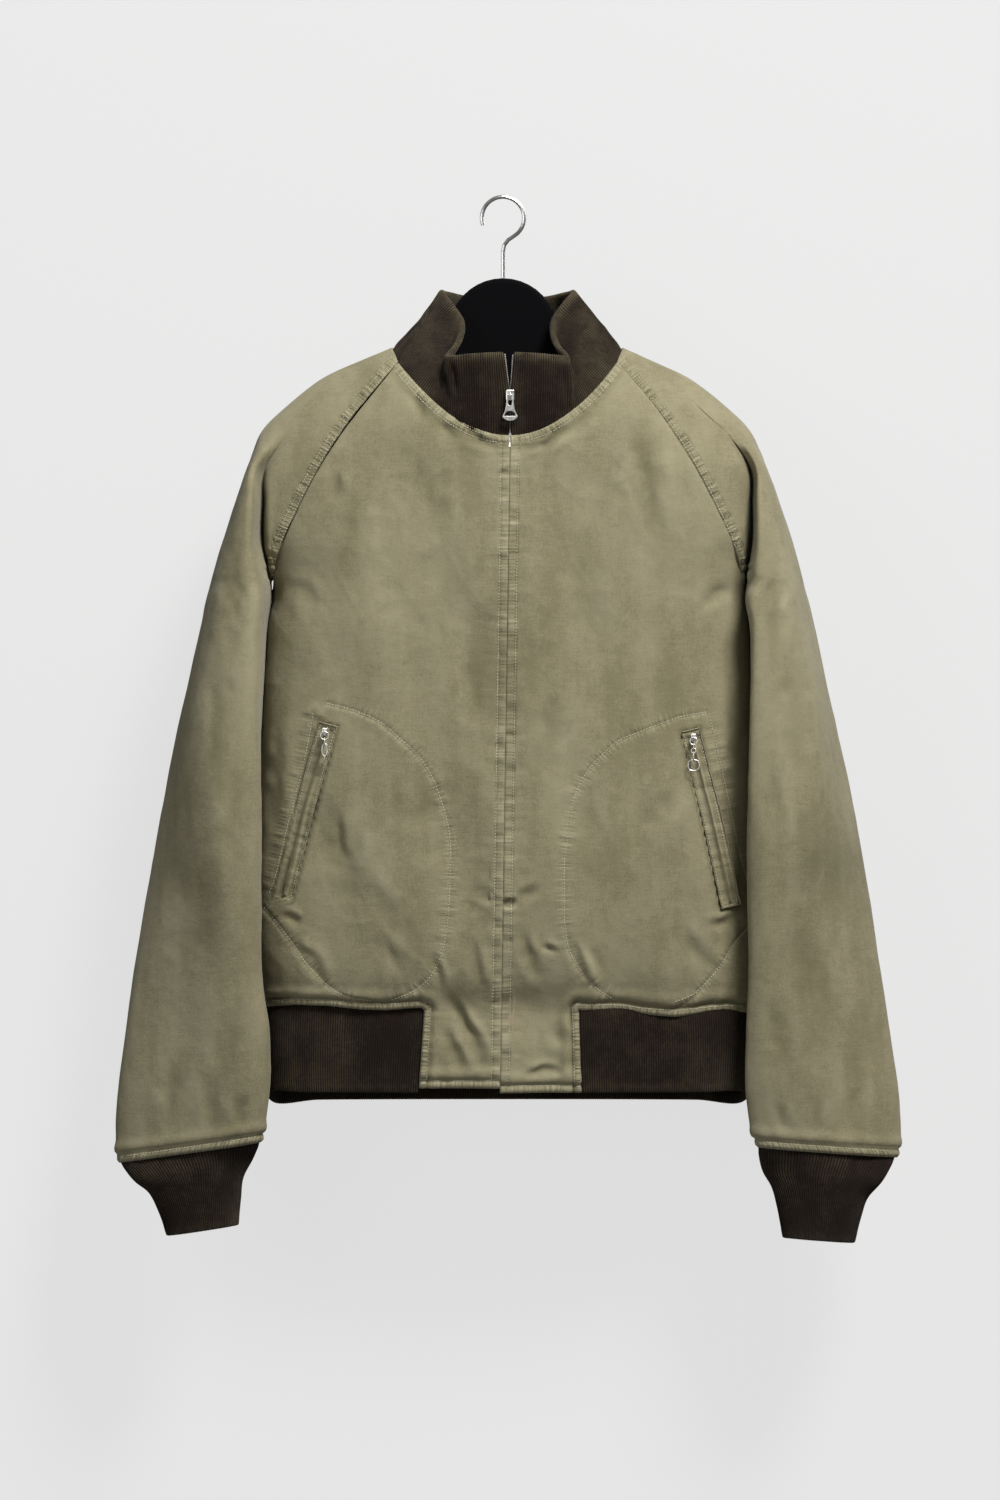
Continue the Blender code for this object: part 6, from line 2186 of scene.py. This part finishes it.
def build_stage():
    scene = bpy.context.scene
    camera = linked("camera", bpy.data.cameras.new("camera"))
    camera.data.sensor_fit = "VERTICAL"
    camera.data.sensor_height = 36.0
    camera.data.lens = LENS
    camera.location = (VIEW_X, -VIEW_DISTANCE, VIEW_Z)
    camera.rotation_euler = (math.pi / 2, 0, 0)
    scene.camera = camera
    side, around = WALL_HALF_WIDTH, ((-1, -1), (1, -1), (1, 1), (-1, 1))
    corners = [(side * x, WALL_Y, FLOOR_Z if z < 0 else WALL_TOP) for x, z in around]
    wall = sheet_of("wall", corners, wall_finish("white_wall", WALL_COLOUR, True))
    wall.visible_diffuse = False
    wall.visible_glossy = False
    wall.visible_shadow = False
    corners = [(side * x, side * y, FLOOR_Z) for x, y in around]
    sheet_of("floor", corners, wall_finish("pale_floor", FLOOR_COLOUR, False))
    for light in LIGHTS:
        area_light(*light)
    world = bpy.data.worlds.new("studio")
    world.use_nodes = True
    background = world.node_tree.nodes["Background"]
    background.inputs[0].default_value = (1.0, 1.0, 1.0, 1)
    background.inputs[1].default_value = WORLD_POWER
    scene.world = world
    scene.view_settings.view_transform = "Standard"


class JacketPiece:
    bl_options = {"REGISTER", "UNDO"}


class OBJECT_OT_fronts(JacketPiece, bpy.types.Operator):
    """Build both front panels with their tabs."""

    bl_idname = "jacket.fronts"
    bl_label = "Front panels"

    def execute(self, context):
        for side, word in SIDES:
            build_front(side, word)
        return {"FINISHED"}


class OBJECT_OT_back(JacketPiece, bpy.types.Operator):
    """Build the back panel."""

    bl_idname = "jacket.back"
    bl_label = "Back panel"

    def execute(self, context):
        build_back()
        return {"FINISHED"}


class OBJECT_OT_sleeves(JacketPiece, bpy.types.Operator):
    """Build both raglan sleeves."""

    bl_idname = "jacket.sleeves"
    bl_label = "Sleeves"

    def execute(self, context):
        for side, word in SIDES:
            build_sleeve(side, word)
        return {"FINISHED"}


class OBJECT_OT_knit(JacketPiece, bpy.types.Operator):
    """Knit the collar, the hem band and the cuffs."""

    bl_idname = "jacket.knit"
    bl_label = "Collar, hem and cuffs"

    def execute(self, context):
        knit_mesh("collar_knit", collar_rows(), -1, COLLAR_STEP, COLLAR_THICK, collar_relief, True)
        knit_mesh("hem_rib_knit", rib_rows(), 1, RIB_STEP, KNIT, rib_relief, True)
        for side, word in SIDES:
            rows = cuff_rows(side)
            knit_mesh(f"cuff_{word}_knit", rows, -side, CUFF_STEP, KNIT, cuff_relief(side), False)
        return {"FINISHED"}


class OBJECT_OT_pockets(JacketPiece, bpy.types.Operator):
    """Build the slanted pockets' welts and zips."""

    bl_idname = "jacket.pockets"
    bl_label = "Pockets"

    def execute(self, context):
        for side, word in SIDES:
            build_welts(side, word)
        return {"FINISHED"}


class OBJECT_OT_front_zip(JacketPiece, bpy.types.Operator):
    """Build the front zip's tapes and teeth."""

    bl_idname = "jacket.front_zip"
    bl_label = "Front zip"

    def execute(self, context):
        build_front_zip()
        return {"FINISHED"}


class OBJECT_OT_stitching(JacketPiece, bpy.types.Operator):
    """Lay the topstitching on the cloth."""

    bl_idname = "jacket.stitching"
    bl_label = "Topstitching"

    def execute(self, context):
        build_stitching()
        return {"FINISHED"}


class OBJECT_OT_hardware(JacketPiece, bpy.types.Operator):
    """Finish the sliders, the pulls, the hanger and its hook."""

    bl_idname = "jacket.hardware"
    bl_label = "Metal and hanger"

    def execute(self, context):
        for name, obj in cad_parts.items():
            if name.startswith(("zip_slider", "zip_pull", "pocket_slider", "pocket_link", "pocket_ring")):
                made = finish("nickel")
            elif name == "hanger_hook":
                made = finish("steel")
            elif name == "hanger_body":
                made = finish("hanger")
            else:
                continue
            obj.data.materials.clear()
            obj.data.materials.append(made)
            obj.data.shade_smooth()
            obj.data.set_sharp_from_angle(angle=math.radians(50))
        return {"FINISHED"}


class OBJECT_OT_stage(JacketPiece, bpy.types.Operator):
    """Set up the wall, the floor, the lights and the camera."""

    bl_idname = "jacket.stage"
    bl_label = "Stage"

    def execute(self, context):
        build_stage()
        return {"FINISHED"}


OPERATORS = (
    OBJECT_OT_fronts, OBJECT_OT_back, OBJECT_OT_sleeves, OBJECT_OT_knit, OBJECT_OT_pockets,
    OBJECT_OT_front_zip, OBJECT_OT_stitching, OBJECT_OT_hardware, OBJECT_OT_stage,
)


class VIEW3D_PT_jacket(bpy.types.Panel):
    """The jacket's settings and its pieces, in the order in which they are built."""

    bl_label = "Tanker jacket"
    bl_space_type = "VIEW_3D"
    bl_region_type = "UI"
    bl_category = "Jacket"

    def draw(self, context):
        for name in JacketSettings.__annotations__:
            self.layout.prop(context.scene.tanker_jacket, name)
        for operator in OPERATORS:
            self.layout.operator(operator.bl_idname)


CLASSES = (JacketSettings, *OPERATORS, VIEW3D_PT_jacket)


def register():
    for made in CLASSES:
        bpy.utils.register_class(made)
    bpy.types.Scene.tanker_jacket = bpy.props.PointerProperty(type=JacketSettings)


def unregister():
    del bpy.types.Scene.tanker_jacket
    for made in reversed(CLASSES):
        bpy.utils.unregister_class(made)


def main():
    register()
    for operator in OPERATORS:
        getattr(bpy.ops.jacket, operator.bl_idname.split(".")[1])()


if __name__ == "__main__":
    main()
